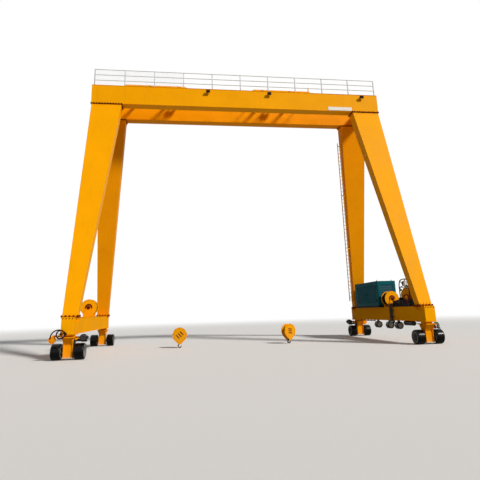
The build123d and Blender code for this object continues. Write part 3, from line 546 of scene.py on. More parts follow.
hose_black = painted("hose_black", card(6, 8, 6), roughness=0.6, variation=0.15, dust_amount=0.0,
                     gloss=0.04)
valve_red = painted("valve_red", card(92, 24, 16), roughness=0.42, variation=0.1)
bm = bmesh.new()
for start, drop, finish in (
    ((10.24, -5.02, 1.055), (10.52, -5.02, 1.24), (10.56, -5.05, 0.9)),
    ((10.24, -4.94, 1.055), (10.44, -4.96, 1.26), (10.47, -5.05, 0.9)),
    ((10.24, -5.1, 1.03), (10.36, -5.12, 1.12), (10.40, -5.16, 0.93)),
):
    tube(bm, interpolate_bezier(start, drop, Vector(finish) + Vector((0, 0, 0.3)), finish, 14), 0.032)
    bar(bm, finish, Vector(finish) - Vector((0, 0, 0.04)), 0.038, segments=6)
tube(bm, interpolate_bezier((10.47, -5.05, 0.86), (10.5, -5.05, 0.83), (10.6, -5.06, 0.87),
                            (10.66, -5.06, 0.85), 8), 0.014)
block(bm, (10.12, -5.14, 1.03), (10.24, -4.9, 1.075))
piece("idle_bogie_hoses", bm, hose_black, "bogie_front_right", sharp=50, clean=True)
bm = bmesh.new()
turned(bm, [(0, 0.0001), (0, 0.07), (0.012, 0.092), (0.05, 0.092), (0.062, 0.07), (0.062, 0.0001)],
       (10.25, -5.12, 0.94), (0, -1, 0), segments=28)
bar(bm, (10.26, -5.12, 0.93), (10.26, -4.96, 0.95), 0.03)
block(bm, (10.12, -5.06, 0.92), (10.27, -4.96, 0.97))
piece("idle_bogie_valve", bm, valve_red, "bogie_front_right", clean=True)


# Rims: pressed steel discs and wells, painted pale grey, with ten nuts and a cap over the axle's end.
# A split lock ring holds each tyre on at the outer side.
rim_paint = painted("rim_paint", card(128, 128, 124), variation=0.12, dust_reach=0.7, dust_amount=0.4)
nut_zinc = painted("nut_zinc", card(120, 116, 108), roughness=0.35, metallic=1.0, dust_amount=0.2)
dress([f"hub_{name}" for name, side, end in corners], rim_paint, edge=0.002)
twin_offset, rim_edge, disc_face, nut_radius = 0.575, 0.226, 0.03, 0.17
lock_ring = [(rim_edge - 0.016, 0.2995), (rim_edge, 0.309), (rim_edge + 0.009, 0.303),
             (rim_edge + 0.009, 0.285), (rim_edge - 0.004, 0.281)]
hub_cap = [(0.06, 0.0001), (0.09, 0.0001), (0.094, 0.045), (0.086, 0.066), (0.06, 0.07)]
for name, side, end in corners:
    nuts = bmesh.new()
    caps = bmesh.new()
    for face in (-1, 1):
        centre = Vector((side * track + face * twin_offset, end * base, axle_height))
        out = Vector((face, 0, 0))
        bolt_circle(nuts, centre + disc_face * out, out, nut_radius, 10, across=0.036, rise=0.026)
        turned(caps, lock_ring, centre, out, segments=56, closed=True)
        turned(caps, hub_cap, centre, out, segments=32)
    piece(f"wheel_nuts_{name}", nuts, nut_zinc, f"wheels_{name}")
    piece(f"hub_caps_{name}", caps, rim_paint, f"wheels_{name}", clean=True)


# Tyres: twin square-shouldered industrial tyres of black rubber, moulded with shallow rain grooves.
# They are smooth and shiny over the top, with a little road dust low down.
rubber = painted("tyre_rubber", card(6, 6, 6), roughness=0.25, variation=0.2, stain=0.0,
                 dust_reach=0.25, dust_amount=0.05, grain=220.0, bump=0.0005, gloss=0.16)
tread_half = 0.24
shoulder = [(0.0280, 0.2700), (0.0280, 0.3120), (0.0200, 0.3170), (0.0100, 0.3230), (0.0030, 0.3330),
            (0.0, 0.3450), (0.0049, 0.3699), (0.0190, 0.3910), (0.0401, 0.4051), (0.0650, 0.4098)]
tread_profile = [(inset - tread_half, out) for inset, out in shoulder]
for groove in (-0.115, 0.0, 0.115):
    tread_profile += [(groove - 0.008, 0.4100), (groove - 0.006, 0.4030), (groove + 0.006, 0.4030),
                      (groove + 0.008, 0.4100)]
tread_profile += [(tread_half - inset, out) for inset, out in reversed(shoulder)]
for name, side, end in corners:
    bm = bmesh.new()
    for face in (-1, 1):
        centre = (side * track + face * twin_offset, end * base, axle_height)
        turned(bm, tread_profile, centre, (1, 0, 0), segments=72, closed=True)
    tyres = piece(f"tyre_pair_{name}", bm, rubber, f"wheels_{name}", sharp=28, clean=True)
    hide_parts(f"tyres_{name}")


# Travel drives of two bogies: a finned black motor with its fan cover, the reducer, and the chain case.
# The case is folded sheet with a bolted lid; the motor's terminal box is cast.
def ribs(bm, start, end, radius, rise, count):
    """Cooling ribs along a round casing."""
    start, end = Vector(start), Vector(end)
    run = end - start
    middle = Matrix.Translation((start + end) / 2) @ run.to_track_quat("Z", "Y").to_matrix().to_4x4()
    for k in range(count):
        place = middle @ Matrix.Rotation(2 * math.pi * k / count, 4, "Z")
        place = place @ Matrix.Translation((radius, 0, 0)) @ Matrix.Diagonal((2 * rise, 0.006, run.length, 1))
        bmesh.ops.create_cube(bm, size=1, matrix=place)


drive_paint = painted("drive_paint", card(24, 23, 24), roughness=0.36, dust_amount=0.1, gloss=0.25)
fan_grey = painted("fan_grey", card(78, 78, 78), dust_amount=0.1)
motor_z, case_top_z, lid_face, lid_bolt_radius = 1.095, 0.96, 0.317, 0.122
for name, end in (("front_left", -1), ("rear_right", 1)):
    dress([f"drive_{name}"], drive_paint)
    side = -end
    corner_x, corner_y = end * track, end * base
    motor_x = corner_x + side * 0.75
    bm = bmesh.new()
    for y in (-0.09, 0.09):
        gusset(bm, (corner_x + side * 0.325, corner_y + y, 1.101), (side, 0, 0), 0.25, -0.13)
    block(bm, (corner_x + side * 0.27, corner_y - 0.113, 1.142),
          (corner_x + side * 0.6, corner_y + 0.113, 1.148))
    piece(f"motor_arm_{name}", bm, knuckle_paint, f"bogie_{name}", clean=True)
    bm = bmesh.new()
    ribs(bm, (motor_x, corner_y + end * 0.05, motor_z), (motor_x, corner_y + end * 0.25, motor_z),
         radius=0.164, rise=0.009, count=32)
    turned(bm, [(0.26, 0.164), (0.262, 0.172), (0.322, 0.172), (0.331, 0.16), (0.331, 0.06), (0.322, 0.05),
                (0.322, 0.0001)], (motor_x, corner_y, motor_z), (0, end, 0), segments=40)
    block(bm, (motor_x + side * 0.15, corner_y + end * 0.09, motor_z - 0.06),
          (motor_x + side * 0.235, corner_y + end * 0.21, motor_z + 0.06), ease=0.01)
    for z in (0.905, 1.165):
        for x in (-0.1, 0.1):
            bolt(bm, (motor_x + x, corner_y - end * 0.14, z), (0, -end, 0), across=0.026, rise=0.014)
    for k in range(12):
        angle = 2 * math.pi * k / 12
        # the upper round end of the case has the upper bolts, and the lower end has the lower ones
        z = case_top_z if math.sin(angle) > -0.1 else axle_height
        rim = Vector((0, math.cos(angle), math.sin(angle))) * lid_bolt_radius
        bolt(bm, Vector((corner_x + side * lid_face, corner_y, z)) + rim, (side, 0, 0), across=0.018,
             rise=0.009)
    piece(f"motor_fins_{name}", bm, drive_paint, f"bogie_{name}", clean=True)
    bm = bmesh.new()
    turned(bm, [(0.329, 0.085), (0.336, 0.088), (0.336, 0.118), (0.329, 0.121)],
           (motor_x, corner_y, motor_z), (0, end, 0), segments=40, closed=True)
    bar(bm, (motor_x, corner_y + end * 0.32, motor_z), (motor_x, corner_y + end * 0.333, motor_z), 0.028)
    piece(f"fan_ring_{name}", bm, fan_grey, f"bogie_{name}", clean=True)


# Hand wheels: cast dark red-brown wheels with a moulded grip, above the driven bogies on the sill ends.
# Their shafts run to yellow gear cases whose covers are bolted on. A bent black breather pipe arches
# from each gear case to the sill's end.
def ring(bm, centre, axis, radius, thick, segments=24, sides=8):
    """A round eye or grip about an axis; thick is the radius of its bar."""
    steps = [2 * math.pi * k / sides for k in range(sides)]
    around = [(thick * math.sin(angle), radius + thick * math.cos(angle)) for angle in steps]
    turned(bm, around, centre, axis, segments=segments, closed=True)


wheel_paint = painted("hand_wheel_paint", card(40, 13, 8), roughness=0.5, variation=0.15, gloss=0.08)
dress(["hand_wheels"], wheel_paint, edge=0)
case_paint = painted("gear_case_paint", card(246, 148, 8), dust_reach=1.0, dust_amount=0.1)
dress(["hand_wheel_cases"], case_paint)
gear_x, gear_z, cover_face, cover_bolt_radius = 10.6, 1.03, 0.094, 0.098
wheel_x, wheel_y, wheel_z, grip_radius = 10.16, 5.64, 1.29, 0.2
covers = bmesh.new()
knobs = bmesh.new()
pipes = bmesh.new()
for side in (-1, 1):
    gear = Vector((side * gear_x, side * sill_end, gear_z))
    out = Vector((0, side, 0))
    turned(covers, [(cover_face - 0.01, 0.0001), (cover_face, 0.0001), (cover_face, 0.115),
                    (cover_face - 0.01, 0.122)], gear, out, segments=36)
    bolt_circle(knobs, gear + cover_face * out, out, cover_bolt_radius, 8, across=0.02, rise=0.01, start=0.5)
    hub = Vector((side * wheel_x, side * wheel_y, wheel_z))
    bolt(knobs, hub, out, across=0.035)
    rim_centre = hub - 0.03 * out
    knob_foot = rim_centre + Vector((0, 0, grip_radius))
    bar(knobs, knob_foot, knob_foot + 0.1 * out, 0.014)
    ring(knobs, rim_centre, out, grip_radius, thick=0.033, segments=40, sides=10)
    arch = interpolate_bezier((side * 10.68, side * 5.5, 1.1), (side * 10.66, side * 5.6, 1.5),
                              (side * 10.16, side * 5.63, 1.7), (side * 9.92, side * 5.42, 1.28), 18)
    tube(pipes, arch, 0.03)
    for end_point, toward in ((arch[0], arch[1]), (arch[-1], arch[-2])):
        bar(pipes, end_point, end_point + (toward - end_point).normalized() * 0.05, 0.041, segments=6)
piece("breather_pipes", pipes, hose_black, "gantry", clean=True)
piece("gear_case_covers", covers, case_paint, "gantry", clean=True)
piece("hand_wheel_fittings", knobs, wheel_paint, "gantry")


# Trolley rails: flat steel bars clamped along the girders, bright on top where the wheels run.
# Clips with one bolt hold each side of the rail, and welded plate stops close the ends.
rail_steel = painted("rail_steel", card(118, 108, 96), variation=0.2, stain=0.35, metallic=0.8,
                     dust_amount=0.0)
dress(["trolley_rails"], rail_steel, edge=0.002)
dress(["rail_stops"], painted("stop_paint", crane_yellow, dust_amount=0.0))
girder_top, rail_half = 17.428, 1.0
clip_start, clip_pitch, clip_top = -9.765, 0.63, girder_top + 0.02
clips = bmesh.new()
for rail in (-rail_half, rail_half):
    for k in range(32):
        for face in (-1, 1):
            x, y = clip_start + clip_pitch * k, rail + face * 0.031
            block(clips, (x - 0.03, y, girder_top), (x + 0.03, y + face * 0.05, clip_top), ease=0)
            bolt(clips, (x, y + face * 0.028, clip_top), (0, 0, 1), across=0.02, rise=0.016)
piece("rail_clips", clips, bolt_primer_and_shade, "gantry")


# Trolleys: two channel beams over the rails, cross beams, and a sheave nest hung between the girders.
# They are painted yellow, with bolted bearing covers, lifting eyes and rubber buffers at the beam ends.
trolley_paint = dress(["trolley_left", "trolley_right"],
                      painted("trolley_paint", crane_yellow, dust_amount=0.0))
buffer_rubber = painted("buffer_rubber", card(24, 24, 24), roughness=0.7, variation=0.2, dust_amount=0.0)
dress(["trolley_buffers_left", "trolley_buffers_right"], buffer_rubber)
wheel_steel = painted("wheel_steel", card(96, 90, 84), roughness=0.35, variation=0.15, metallic=0.9,
                      dust_amount=0.0)
dress([f"trolley_axle_{side}_{place}" for side in ("left", "right") for place in "ab"], wheel_steel,
      edge=0.002)
trolley_top, trolley_axle_z, beam_outer = 17.76, 17.608, 1.11
eye_half, axle_half = 1.5, 1.92
for name, middle_x in (("left", -5.93), ("right", 3.09)):
    eyes = bmesh.new()
    caps = bmesh.new()
    for side in (-1, 1):
        for face in (-1, 1):
            out = Vector((0, face, 0))
            eye = (middle_x + side * eye_half, face * rail_half, trolley_top + 0.035)
            ring(eyes, eye, out, radius=0.036, thick=0.011)
            hub = Vector((middle_x + side * axle_half, face * beam_outer, trolley_axle_z))
            turned(eyes, [(0, 0.042), (0, 0.078), (0.012, 0.078), (0.016, 0.07), (0.016, 0.042)], hub, out,
                   segments=28, closed=True)
            bolt_circle(caps, hub + 0.016 * out, out, 0.06, 4, across=0.016, rise=0.01, start=0.5)
    if name == "right":
        block(eyes, (middle_x + 2.0, -1.03, trolley_top), (middle_x + 2.06, -0.97, trolley_top + 0.36))
        block(eyes, (middle_x + 1.96, -1.07, trolley_top), (middle_x + 2.08, -0.93, trolley_top + 0.012))
    piece(f"trolley_eyes_{name}", eyes, trolley_paint, f"trolley_{name}", clean=True)
    piece(f"trolley_bolts_{name}", caps, bolt_primer_and_shade, f"trolley_{name}")


# Hook blocks: two flame-cut cheeks over the sheaves, painted yellow with three slanted dark stripes.
# Spacer bolts round the rim tie the cheeks together; the forged hook below is black.
dress(["hook_block_left", "hook_block_right"],
      painted("block_paint", card(234, 156, 12), dust_reach=0.9, dust_amount=0.15), edge=0.004)
forged = painted("forged_hook", card(40, 36, 33), roughness=0.5, variation=0.2, grain=60.0, bump=0.001)
dress(["hook_left", "hook_right"], forged, edge=0.008)
stripe_paint = painted("stripe_paint", card(82, 20, 22), roughness=0.4)
cheek_face, block_middle, spacer_radius = 0.18, 0.8, 0.415
stripe_half_width, stripe_half_length, stripe_coat = 0.034, 0.15, 0.0015
# side, middle, turn about the upright in degrees, lean of a stripe, and the step from stripe to stripe
for name, middle_x, turn, lean_back, step in (("left", -4.27, 0, 45, (0.125, 0.105)),
                                              ("right", 2.9, 25, 80, (0.0, 0.125))):
    stripes = bmesh.new()
    fixings = bmesh.new()
    for face in (-1, 1):
        for k in (-1, 0, 1):
            lean = Matrix.Translation((-face * step[0] * k, 0, block_middle + step[1] * k))
            lean = lean @ Matrix.Rotation(math.radians(face * lean_back), 4, "Y")
            low = (-stripe_half_width, face * cheek_face, -stripe_half_length)
            high = (stripe_half_width, face * (cheek_face + stripe_coat), stripe_half_length)
            block(stripes, low, high, ease=0, turn=lean)
        for k in range(7):
            angle = math.radians(-30 + 40 * k)
            spot = (spacer_radius * math.cos(angle), face * cheek_face,
                    block_middle + spacer_radius * math.sin(angle))
            bolt(fixings, spot, (0, face, 0), across=0.03, rise=0.018)
    for kind, bm, material in (("stripes", stripes, stripe_paint), ("bolts", fixings, bolt_primer_and_shade)):
        bmesh.ops.rotate(bm, matrix=Matrix.Rotation(math.radians(turn), 3, "Z"), verts=bm.verts)
        bmesh.ops.translate(bm, vec=(middle_x, 0, 0), verts=bm.verts)
        piece(f"block_{kind}_{name}", bm, material, f"hook_block_{name}")


# Winches: flanged drums in two bearing plates on a base plate, with a finned motor at the rear end.
# Steel hoist rope, black with grease, is wound on the drum; each hub has a dark bolted cover.
dress(["drum_left", "drum_right"], painted("drum_paint", card(250, 166, 6), dust_amount=0.05))
dress(["winch_frame_left", "winch_frame_right"],
      painted("winch_frame_paint", card(248, 158, 5), dust_amount=0.05))
greased_rope = painted("greased_rope", card(30, 22, 18), roughness=0.5, variation=0.25, dust_amount=0.0)
drum_height, flange_face, bearing_face = 2.681, 0.288, 0.348
rope_start, rope_pitch, rope_turns = -0.2595, 0.026, 20
wound = [(rope_start, 0.25)]
for k in range(rope_turns):
    middle = rope_start + rope_pitch * (k + 0.5)
    wound += [(middle - 0.0115, 0.432), (middle - 0.006, 0.441), (middle, 0.445),
              (middle + 0.006, 0.441), (middle + 0.0115, 0.432)]
wound += [(-rope_start, 0.25)]
for name, x, y in (("left", -track, -0.19), ("right", track, -0.78)):
    bm = bmesh.new()
    turned(bm, wound, (x, y, drum_height), (0, 1, 0), segments=64)
    piece(f"wound_rope_{name}", bm, greased_rope, f"drum_{name}", sharp=60, clean=True)
    bm = bmesh.new()
    for face in (-1, 1):
        centre = Vector((x, y + face * flange_face, drum_height))
        turned(bm, [(0, 0.052), (0.006, 0.052), (0.006, 0.225), (0, 0.23)], centre, (0, face, 0), segments=32,
               closed=True)
        bolt_circle(bm, centre, (0, face, 0), 0.2, 12, across=0.03, rise=0.013)
        bolt_circle(bm, centre, (0, face, 0), 0.44, 12, across=0.024, rise=0.01)
    piece(f"drum_bolts_{name}", bm, bolt_primer_and_shade, f"drum_{name}", clean=True)
    bm = bmesh.new()
    for face in (-1, 1):
        out = Vector((0, face, 0))
        centre = Vector((x, y, drum_height)) + bearing_face * out
        reach = 0.07 if face < 0 else 0.012
        turned(bm, [(0, 0.0001), (reach, 0.0001), (reach, 0.055), (reach * 0.8, 0.075), (0.012, 0.08),
                    (0.012, 0.118), (0, 0.12)], centre, out, segments=32)
        bolt_circle(bm, centre + 0.012 * out, out, 0.1, 6, across=0.024, rise=0.012, start=0.5)
    piece(f"winch_bearings_{name}", bm, bolt_primer_and_shade, "gantry", clean=True)


# Generator set: a welded skid, a teal sheet-metal canopy with two doors, and the engine inside it.
# The roof has standing seams and lifting eyes, and the doors a pressed frame, a latch and a handle.
def two_tone(material, mask, colour):
    """A second colour on a painted material, where the mask is 1."""
    tree = material.node_tree
    coat = tree.nodes["Principled BSDF"].inputs["Base Color"]
    tree.links.new(blended(tree, mask, coat.links[0].from_socket, colour), coat)


def pressed_frame(bm, x_start, x_end, low, high, width):
    """A raised frame on a panel, from its low to its high corner along Y and Z."""
    (y0, z0), (y1, z1) = low, high
    for first, second in (((y0, z0), (y1, z0 + width)), ((y0, z1 - width), (y1, z1)),
                          ((y0, z0 + width), (y0 + width, z1 - width)),
                          ((y1 - width, z0 + width), (y1, z1 - width))):
        block(bm, (x_start, *first), (x_end, *second), ease=0.002)


canopy_paint = painted("canopy_paint", card(12, 90, 97), variation=0.08, stain=0.05, dust_amount=0.05)
outlet_face = -0.1985
tree = canopy_paint.node_tree
split = add(tree, "ShaderNodeSeparateXYZ", {0: add(tree, "ShaderNodeTexCoord").outputs["Object"]})
outlet = maths(tree, "GREATER_THAN", split.outputs["Y"], outlet_face)
for axis, middle, half in (("X", 10.015, 0.48), ("Y", outlet_face, 0.034), ("Z", 3.166, 0.53)):
    outlet = maths(tree, "MULTIPLY", outlet, maths(tree, "COMPARE", split.outputs[axis], middle, half))
two_tone(canopy_paint, outlet, card(58, 90, 102))
dress(["genset_canopy"], canopy_paint)
door_paint = painted("door_paint", card(4, 80, 92), roughness=0.5, variation=0.08, stain=0.05,
                     dust_amount=0.05)
dress(["genset_door_front", "genset_door_rear"], door_paint)
dress(["genset_skid"], painted("skid_paint", card(24, 24, 26)))
dress(["engine_block"], painted("engine_paint", card(58, 63, 62), roughness=0.5, variation=0.2))
canopy_in, canopy_out, canopy_near, canopy_far, canopy_top = 9.33, 10.70, -0.2, 3.75, 3.931
bm = bmesh.new()
for k in range(1, 5):
    y = canopy_near + 0.79 * k
    block(bm, (canopy_in + 0.06, y - 0.012, canopy_top - 0.002),
          (canopy_out - 0.06, y + 0.012, canopy_top + 0.018))
for x in (canopy_in + 0.14, canopy_out - 0.14):
    for y in (canopy_near + 0.3, canopy_far - 0.3):
        ring(bm, (x, y, canopy_top + 0.045), (1, 0, 0), radius=0.04, thick=0.011)
for k in range(4):
    y = canopy_near + 0.945 * k
    pressed_frame(bm, canopy_out - 0.001, canopy_out + 0.008, (y + 0.12, 2.42), (y + 0.995, 3.77), 0.03)
piece("canopy_seams", bm, canopy_paint, "gantry", clean=True)
for name, start, latch in (("front", 0.1, 1), ("rear", 1.76, 0)):
    bm = bmesh.new()
    pressed_frame(bm, canopy_in - 0.006, canopy_in + 0.004, (start + 0.08, 2.53), (start + 1.42, 3.61), 0.02)
    y = start + (1.46 if latch else 0.04)
    block(bm, (canopy_in - 0.012, y - 0.025, 2.97), (canopy_in + 0.002, y + 0.025, 3.15), ease=0.004)
    bar(bm, (canopy_in - 0.026, y, 2.99), (canopy_in - 0.026, y, 3.13), 0.007)
    for z in (2.99, 3.13):
        bar(bm, (canopy_in - 0.03, y, z), (canopy_in - 0.005, y, z), 0.006)
    piece(f"door_latch_{name}", bm, door_paint, f"door_{name}")


# Power pack: a black steel oil tank with a yellow pump motor on it, beside the right sill's front leg.
# It carries a filler cap, a bolted cover, a valve block with hand levers, and a pressure pipe.
pack_paint = painted("pack_paint", card(14, 11, 11), dust_amount=0.05, gloss=0.08)
pack_x, pack_half, pack_top, pump_y, pump_z = 10.01, 0.215, 2.551, -2.9, 2.701
tree = pack_paint.node_tree
split = add(tree, "ShaderNodeSeparateXYZ", {0: add(tree, "ShaderNodeTexCoord").outputs["Object"]})
two_tone(pack_paint, maths(tree, "GREATER_THAN", split.outputs["Z"], pack_top + 0.004), crane_yellow)
dress(["power_pack"], pack_paint)
bm = bmesh.new()
ribs(bm, (pack_x, pump_y - 0.2, pump_z), (pack_x, pump_y + 0.2, pump_z), radius=0.149, rise=0.008, count=28)
turned(bm, [(0.27, 0.0001), (0.292, 0.0001), (0.292, 0.14), (0.28, 0.157), (0.2, 0.157), (0.2, 0.14)],
       (pack_x, pump_y, pump_z), (0, 1, 0), segments=36)
piece("pump_motor_fins", bm, tie_paint, "gantry", clean=True)
fitting_black = painted("fitting_black", card(14, 11, 11), dust_amount=0.05, gloss=0.08)
bm = bmesh.new()
turned(bm, [(0, 0.0001), (0.05, 0.0001), (0.05, 0.058), (0.035, 0.066), (0, 0.05)],
       (pack_x + 0.1, -1.5, pack_top), (0, 0, 1), segments=24)
block(bm, (pack_x - 0.12, -1.92, pack_top), (pack_x + 0.12, -1.62, pack_top + 0.012))
block(bm, (pack_x - 0.17, -2.45, pack_top), (pack_x + 0.13, -2.1, pack_top + 0.16), ease=0.008)
for k in range(4):
    root = Vector((pack_x - 0.13 + 0.075 * k, -2.28, pack_top + 0.15))
    bar(bm, root, root + Vector((0, -0.03, 0.17)), 0.008)
    bmesh.ops.create_icosphere(bm, subdivisions=1, radius=0.017,
                               matrix=Matrix.Translation(root + Vector((0, -0.03, 0.18))))
tube(bm, interpolate_bezier((pack_x + 0.05, pump_y + 0.29, pump_z), (pack_x + 0.05, -2.5, pump_z),
                            (pack_x + 0.05, -2.52, 2.63), (pack_x + 0.05, -2.44, 2.63), 8), 0.018)
piece("power_pack_fittings", bm, fitting_black, "gantry", clean=True)
bm = bmesh.new()
for face in (-1, 1):
    for k in range(5):
        bolt(bm, (pack_x + face * 0.1, 0.06 * k - 1.89, pack_top + 0.012), (0, 0, 1), across=0.016, rise=0.01)
    for k in range(12):
        side_bolt = (pack_x + face * pack_half, 0.19 * k - 3.5, pack_top - 0.03)
        bolt(bm, side_bolt, (face, 0, 0), across=0.018, rise=0.01)
piece("power_pack_bolts", bm, nut_zinc, "gantry")


# Splash sheet: folded yellow sheet steel with a raking top edge, on the outer edge of the oil tank.
# Angle stiffeners are welded to its back, and bolts hold its bottom flange to the tank.
sheet_x, sheet_thick, sheet_near, sheet_far = 10.2, 0.005, -3.9, -1.75
sheet_low, sheet_high, rake_y, rake_z = 2.552, 3.34, -2.2, 3.02
bm = bmesh.new()
outline = [(sheet_near, sheet_low), (sheet_far, sheet_low), (sheet_far, rake_z), (rake_y, sheet_high),
           (sheet_near, sheet_high)]
face = bm.faces.new([bm.verts.new((sheet_x, y, z)) for y, z in outline])
bmesh.ops.solidify(bm, geom=[face], thickness=sheet_thick)
back = sheet_x + sheet_thick
for y, top in ((sheet_near + 0.02, 3.32), (-2.82, 3.32), (sheet_far - 0.02, 3.0)):
    block(bm, (back, y - 0.012, 2.553), (sheet_x + 0.03, y + 0.012, top), ease=0.002)
block(bm, (back, sheet_near, sheet_high - 0.025), (sheet_x + 0.028, rake_y, sheet_high), ease=0.002)
block(bm, (sheet_x - 0.045, sheet_near, 2.5515), (sheet_x, sheet_far, 2.557), ease=0.0015)
for k in range(8):
    bolt(bm, (sheet_x - 0.024, -3.78 + 0.27 * k, 2.557), (0, 0, 1), across=0.018, rise=0.01)
piece("splash_sheet", bm, tie_paint, "gantry", clean=True)


# Guard ring: a rounded frame of steel flat bar, bent and welded to a stem and painted dark red.
# The stem's foot plate is bolted to the sill beside the oil tank.
ring_paint = painted("guard_ring_paint", card(70, 18, 14), roughness=0.4, variation=0.15)
dress(["guard_ring"], ring_paint, edge=0.004)
stem_x, stem_y, stem_foot_top = 9.6, -3.5, sill_top + 0.014
bm = bmesh.new()
block(bm, (stem_x - 0.06, stem_y - 0.06, sill_top), (stem_x + 0.06, stem_y + 0.06, stem_foot_top))
for x in (stem_x - 0.04, stem_x + 0.04):
    for y in (stem_y - 0.04, stem_y + 0.04):
        bolt(bm, (x, y, stem_foot_top), (0, 0, 1), across=0.018, rise=0.012)
piece("guard_ring_foot", bm, ring_paint, "gantry")


# Hoop: a bent black tube with a round lamp and a smaller one on its cross bar, and a beacon on an arm.
# Each lamp has a moulded glass behind a steel bezel. Two struts steady the large lamp, two black cables
# are tied down the rear tube, and the tube ends stand in bolted flanges.
hoop_paint = dress(["lamp_hoop"], painted("hoop_paint", card(8, 7, 8), dust_amount=0.0, gloss=0.05))
# The lamp glass is near white: a painted highlight, which keeps the lenses bright in the leg's shade.
glass = painted("lamp_glass_painted_highlight", card(236, 238, 224), roughness=0.25, variation=0.02, dust_amount=0.0, gloss=0.8)
amber = painted("beacon_glass", card(104, 108, 84), roughness=0.2, variation=0.02, dust_amount=0.0, gloss=0.8)
hoop_x = 9.69
lenses = bmesh.new()
bezels = bmesh.new()
for y, z, out in ((-3.34, 3.56, 0.15), (-3.585, 3.33, 0.11)):
    turned(lenses, [(-0.004, out * 0.86), (0.004, out * 0.84), (0.014, out * 0.55), (0.018, out * 0.25),
                    (0.019, 0.0001)], (hoop_x, y, z), (0, -1, 0), segments=32)
    turned(bezels, [(-0.01, out * 0.99), (0.008, out * 0.99), (0.01, out * 0.95), (0.008, out * 0.85),
                    (-0.01, out * 0.84)], (hoop_x, y, z), (0, -1, 0), segments=32, closed=True)
piece("lamp_lenses", lenses, glass, "gantry", clean=True)
for y in (-3.78, -2.6):
    turned(bezels, [(0, 0.03), (0, 0.07), (0.012, 0.07), (0.014, 0.03)], (hoop_x, y, sill_top), (0, 0, 1),
           segments=24, closed=True)
    turned(bezels, [(-0.025, 0.03), (-0.025, 0.036), (0.025, 0.036), (0.025, 0.03)], (hoop_x, y, 3.33),
           (0, 0, 1), segments=24, closed=True)
for start, finish in (((-2.7, 3.76), (-3.22, 3.45)), ((-2.62, 3.32), (-3.22, 3.45)),
                      ((-3.3, 3.7), (-3.42, 3.82))):
    bar(bezels, (hoop_x, *start), (hoop_x, *finish), 0.024)
for out in (0.04, 0.08):
    run = interpolate_bezier((hoop_x, -2.62 - out, 3.3), (hoop_x, -2.58 + out, 2.9),
                             (hoop_x + 0.02, -2.6 + out, 2.75), (hoop_x + 0.14, -2.5 + out, 2.58), 12)
    tube(bezels, run, 0.016)
piece("lamp_bezels", bezels, hoop_paint, "gantry", clean=True)
bm = bmesh.new()
turned(bm, [(0, 0.084), (0.02, 0.082), (0.035, 0.06), (0.042, 0.03), (0.043, 0.0001)],
       (hoop_x, -2.755, 3.18), (0, -1, 0), segments=28)
piece("beacon_lens", bm, amber, "gantry", clean=True)


# Hoses and tanks: rubber hoses from the power pack over the sill to a manifold, an air tank and pods.
# Steel ferrules grip the hose ends; straps hold the tank, and each pod has a pale end cover.
dress(["hoses"], painted("hose_rubber", card(22, 18, 17), variation=0.15, gloss=0.25), edge=0)
dress(["under_sill_tanks"],
      painted("tank_paint", card(24, 22, 23), roughness=0.35, dust_amount=0.1, gloss=0.25))
ferrules = bmesh.new()
for k in range(4):
    y = -1.71 + 0.12 * k
    turned(ferrules, [(0, 0.024), (0, 0.031), (0.05, 0.031), (0.06, 0.024)], (9.494, y, 1.19), (0, 0, 1),
           segments=20, closed=True)
piece("hose_ferrules", ferrules, nut_zinc, "gantry", clean=True)
cover_grey = painted("pod_cover", card(196, 190, 176), variation=0.15, dust_amount=0.1)
covers = bmesh.new()
pod_x, pod_z, pod_end = 9.62, 0.977, 0.17
for y in (-2.17, -0.94, 0.78):
    for face in (-1, 1):
        centre, out = Vector((pod_x, y + face * pod_end, pod_z)), Vector((0, face, 0))
        turned(covers, [(0, 0.0001), (0.008, 0.0001), (0.008, 0.045), (0, 0.05)], centre, out, segments=24)
        turned(covers, [(0, 0.085), (0.008, 0.09), (0.008, 0.135), (0, 0.14)], centre, out, segments=32,
               closed=True)
        bolt_circle(covers, centre + 0.008 * out, out, 0.11, 6, across=0.02, rise=0.01)
piece("pod_covers", covers, cover_grey, "gantry", clean=True)
pipe_brown = painted("pipe_brown", card(96, 44, 26), roughness=0.5, variation=0.2, dust_amount=0.1)
pipe_x, pipe_z = 9.6, 1.225
bm = bmesh.new()
tube(bm, [(pipe_x, 1.2, pipe_z), (pipe_x, 3.8, pipe_z)], 0.03)
for k in range(5):
    y = 1.35 + 0.57 * k
    block(bm, (pipe_x - 0.004, y - 0.03, pipe_z - 0.035), (pipe_x + 0.08, y + 0.03, pipe_z + 0.052))
piece("drain_pipe", bm, pipe_brown, "gantry")


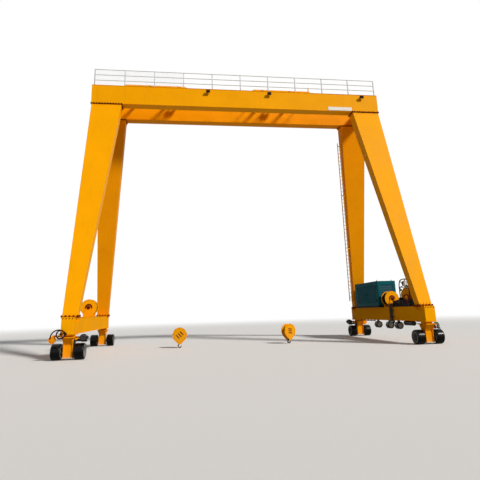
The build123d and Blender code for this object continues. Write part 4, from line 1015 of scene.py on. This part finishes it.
# Handrails: square posts and three round rails of steel painted pale grey, on bolted foot plates.
# The three bays over the left end of the front girder are filled with welded wire mesh.
rail_paint = painted("rail_paint", card(208, 211, 210), roughness=0.4, dust_amount=0.0)
dress(["handrail_front", "handrail_rear"], rail_paint, edge=0)
rail_y, post_pitch, rail_start, foot_top = 1.475, 2.0, -10.0, girder_top + 0.01
feet = bmesh.new()
for face in (-1, 1):
    for k in range(11):
        x = rail_start + post_pitch * k
        block(feet, (x - 0.055, face * (rail_y - 0.026), girder_top),
              (x + 0.055, face * (rail_y + 0.026), foot_top), ease=0.002)
        for spot in (x - 0.042, x + 0.042):
            bolt(feet, (spot, face * rail_y, foot_top), (0, 0, 1), across=0.014, rise=0.01)
piece("handrail_feet", feet, rail_paint, "gantry")
bay_width, mesh_height, wire_radius = 1.94, 1.1, 0.0022
mesh_low, mesh_high = girder_top + 0.06, girder_top + 0.06 + mesh_height
mesh_wires = bmesh.new()
for bay in range(3):
    start = rail_start + post_pitch * bay + 0.03
    for k in range(1, 26):
        x = start + bay_width * k / 26
        bar(mesh_wires, (x, -rail_y, mesh_low), (x, -rail_y, mesh_high), wire_radius, segments=4)
    for k in range(15):
        y, z = -rail_y - 0.003, mesh_low + mesh_height * k / 14
        bar(mesh_wires, (start, y, z), (start + bay_width, y, z), wire_radius, segments=4)
piece("handrail_mesh", mesh_wires, rail_paint, "gantry")


# Ladder: two square tube stiles with round rungs between them, welded up and painted as the leg.
# Brackets hold it along the inner edge of the rear right leg, with no cage round it.
dress(["ladder"], painted("ladder_paint", crane_yellow, dust_amount=0.05), edge=0)


# Floodlights: cast housings on brackets along the front girder, with a glass front and cooling fins.
# The housings tilt down over the ground before the crane.
lamp_paint = dress(["floodlights"], painted("lamp_paint", card(70, 24, 12), roughness=0.4))
flood_glass = painted("flood_glass", card(58, 42, 34), roughness=0.2, gloss=0.3)
flood_y, flood_z, flood_tilt = -1.685, 17.168, math.radians(35)
fronts = bmesh.new()
backs = bmesh.new()
for flood_x in (-2.32, 2.03, 8.91):
    head = Matrix.Translation((flood_x, flood_y, flood_z)) @ Matrix.Rotation(flood_tilt, 4, "X")
    block(fronts, (-0.112, -0.07, -0.082), (0.112, -0.064, 0.082), ease=0.002, turn=head)
    for k in range(7):
        x = 0.035 * k - 0.105
        block(backs, (x - 0.003, 0.062, -0.085), (x + 0.003, 0.082, 0.085), ease=0, turn=head)
    for x in (-0.13, 0.114):
        block(backs, (x, -0.072, -0.1), (x + 0.016, -0.05, 0.1), ease=0.002, turn=head)
piece("floodlight_glass", fronts, flood_glass, "gantry")
piece("floodlight_fins", backs, lamp_paint, "gantry")
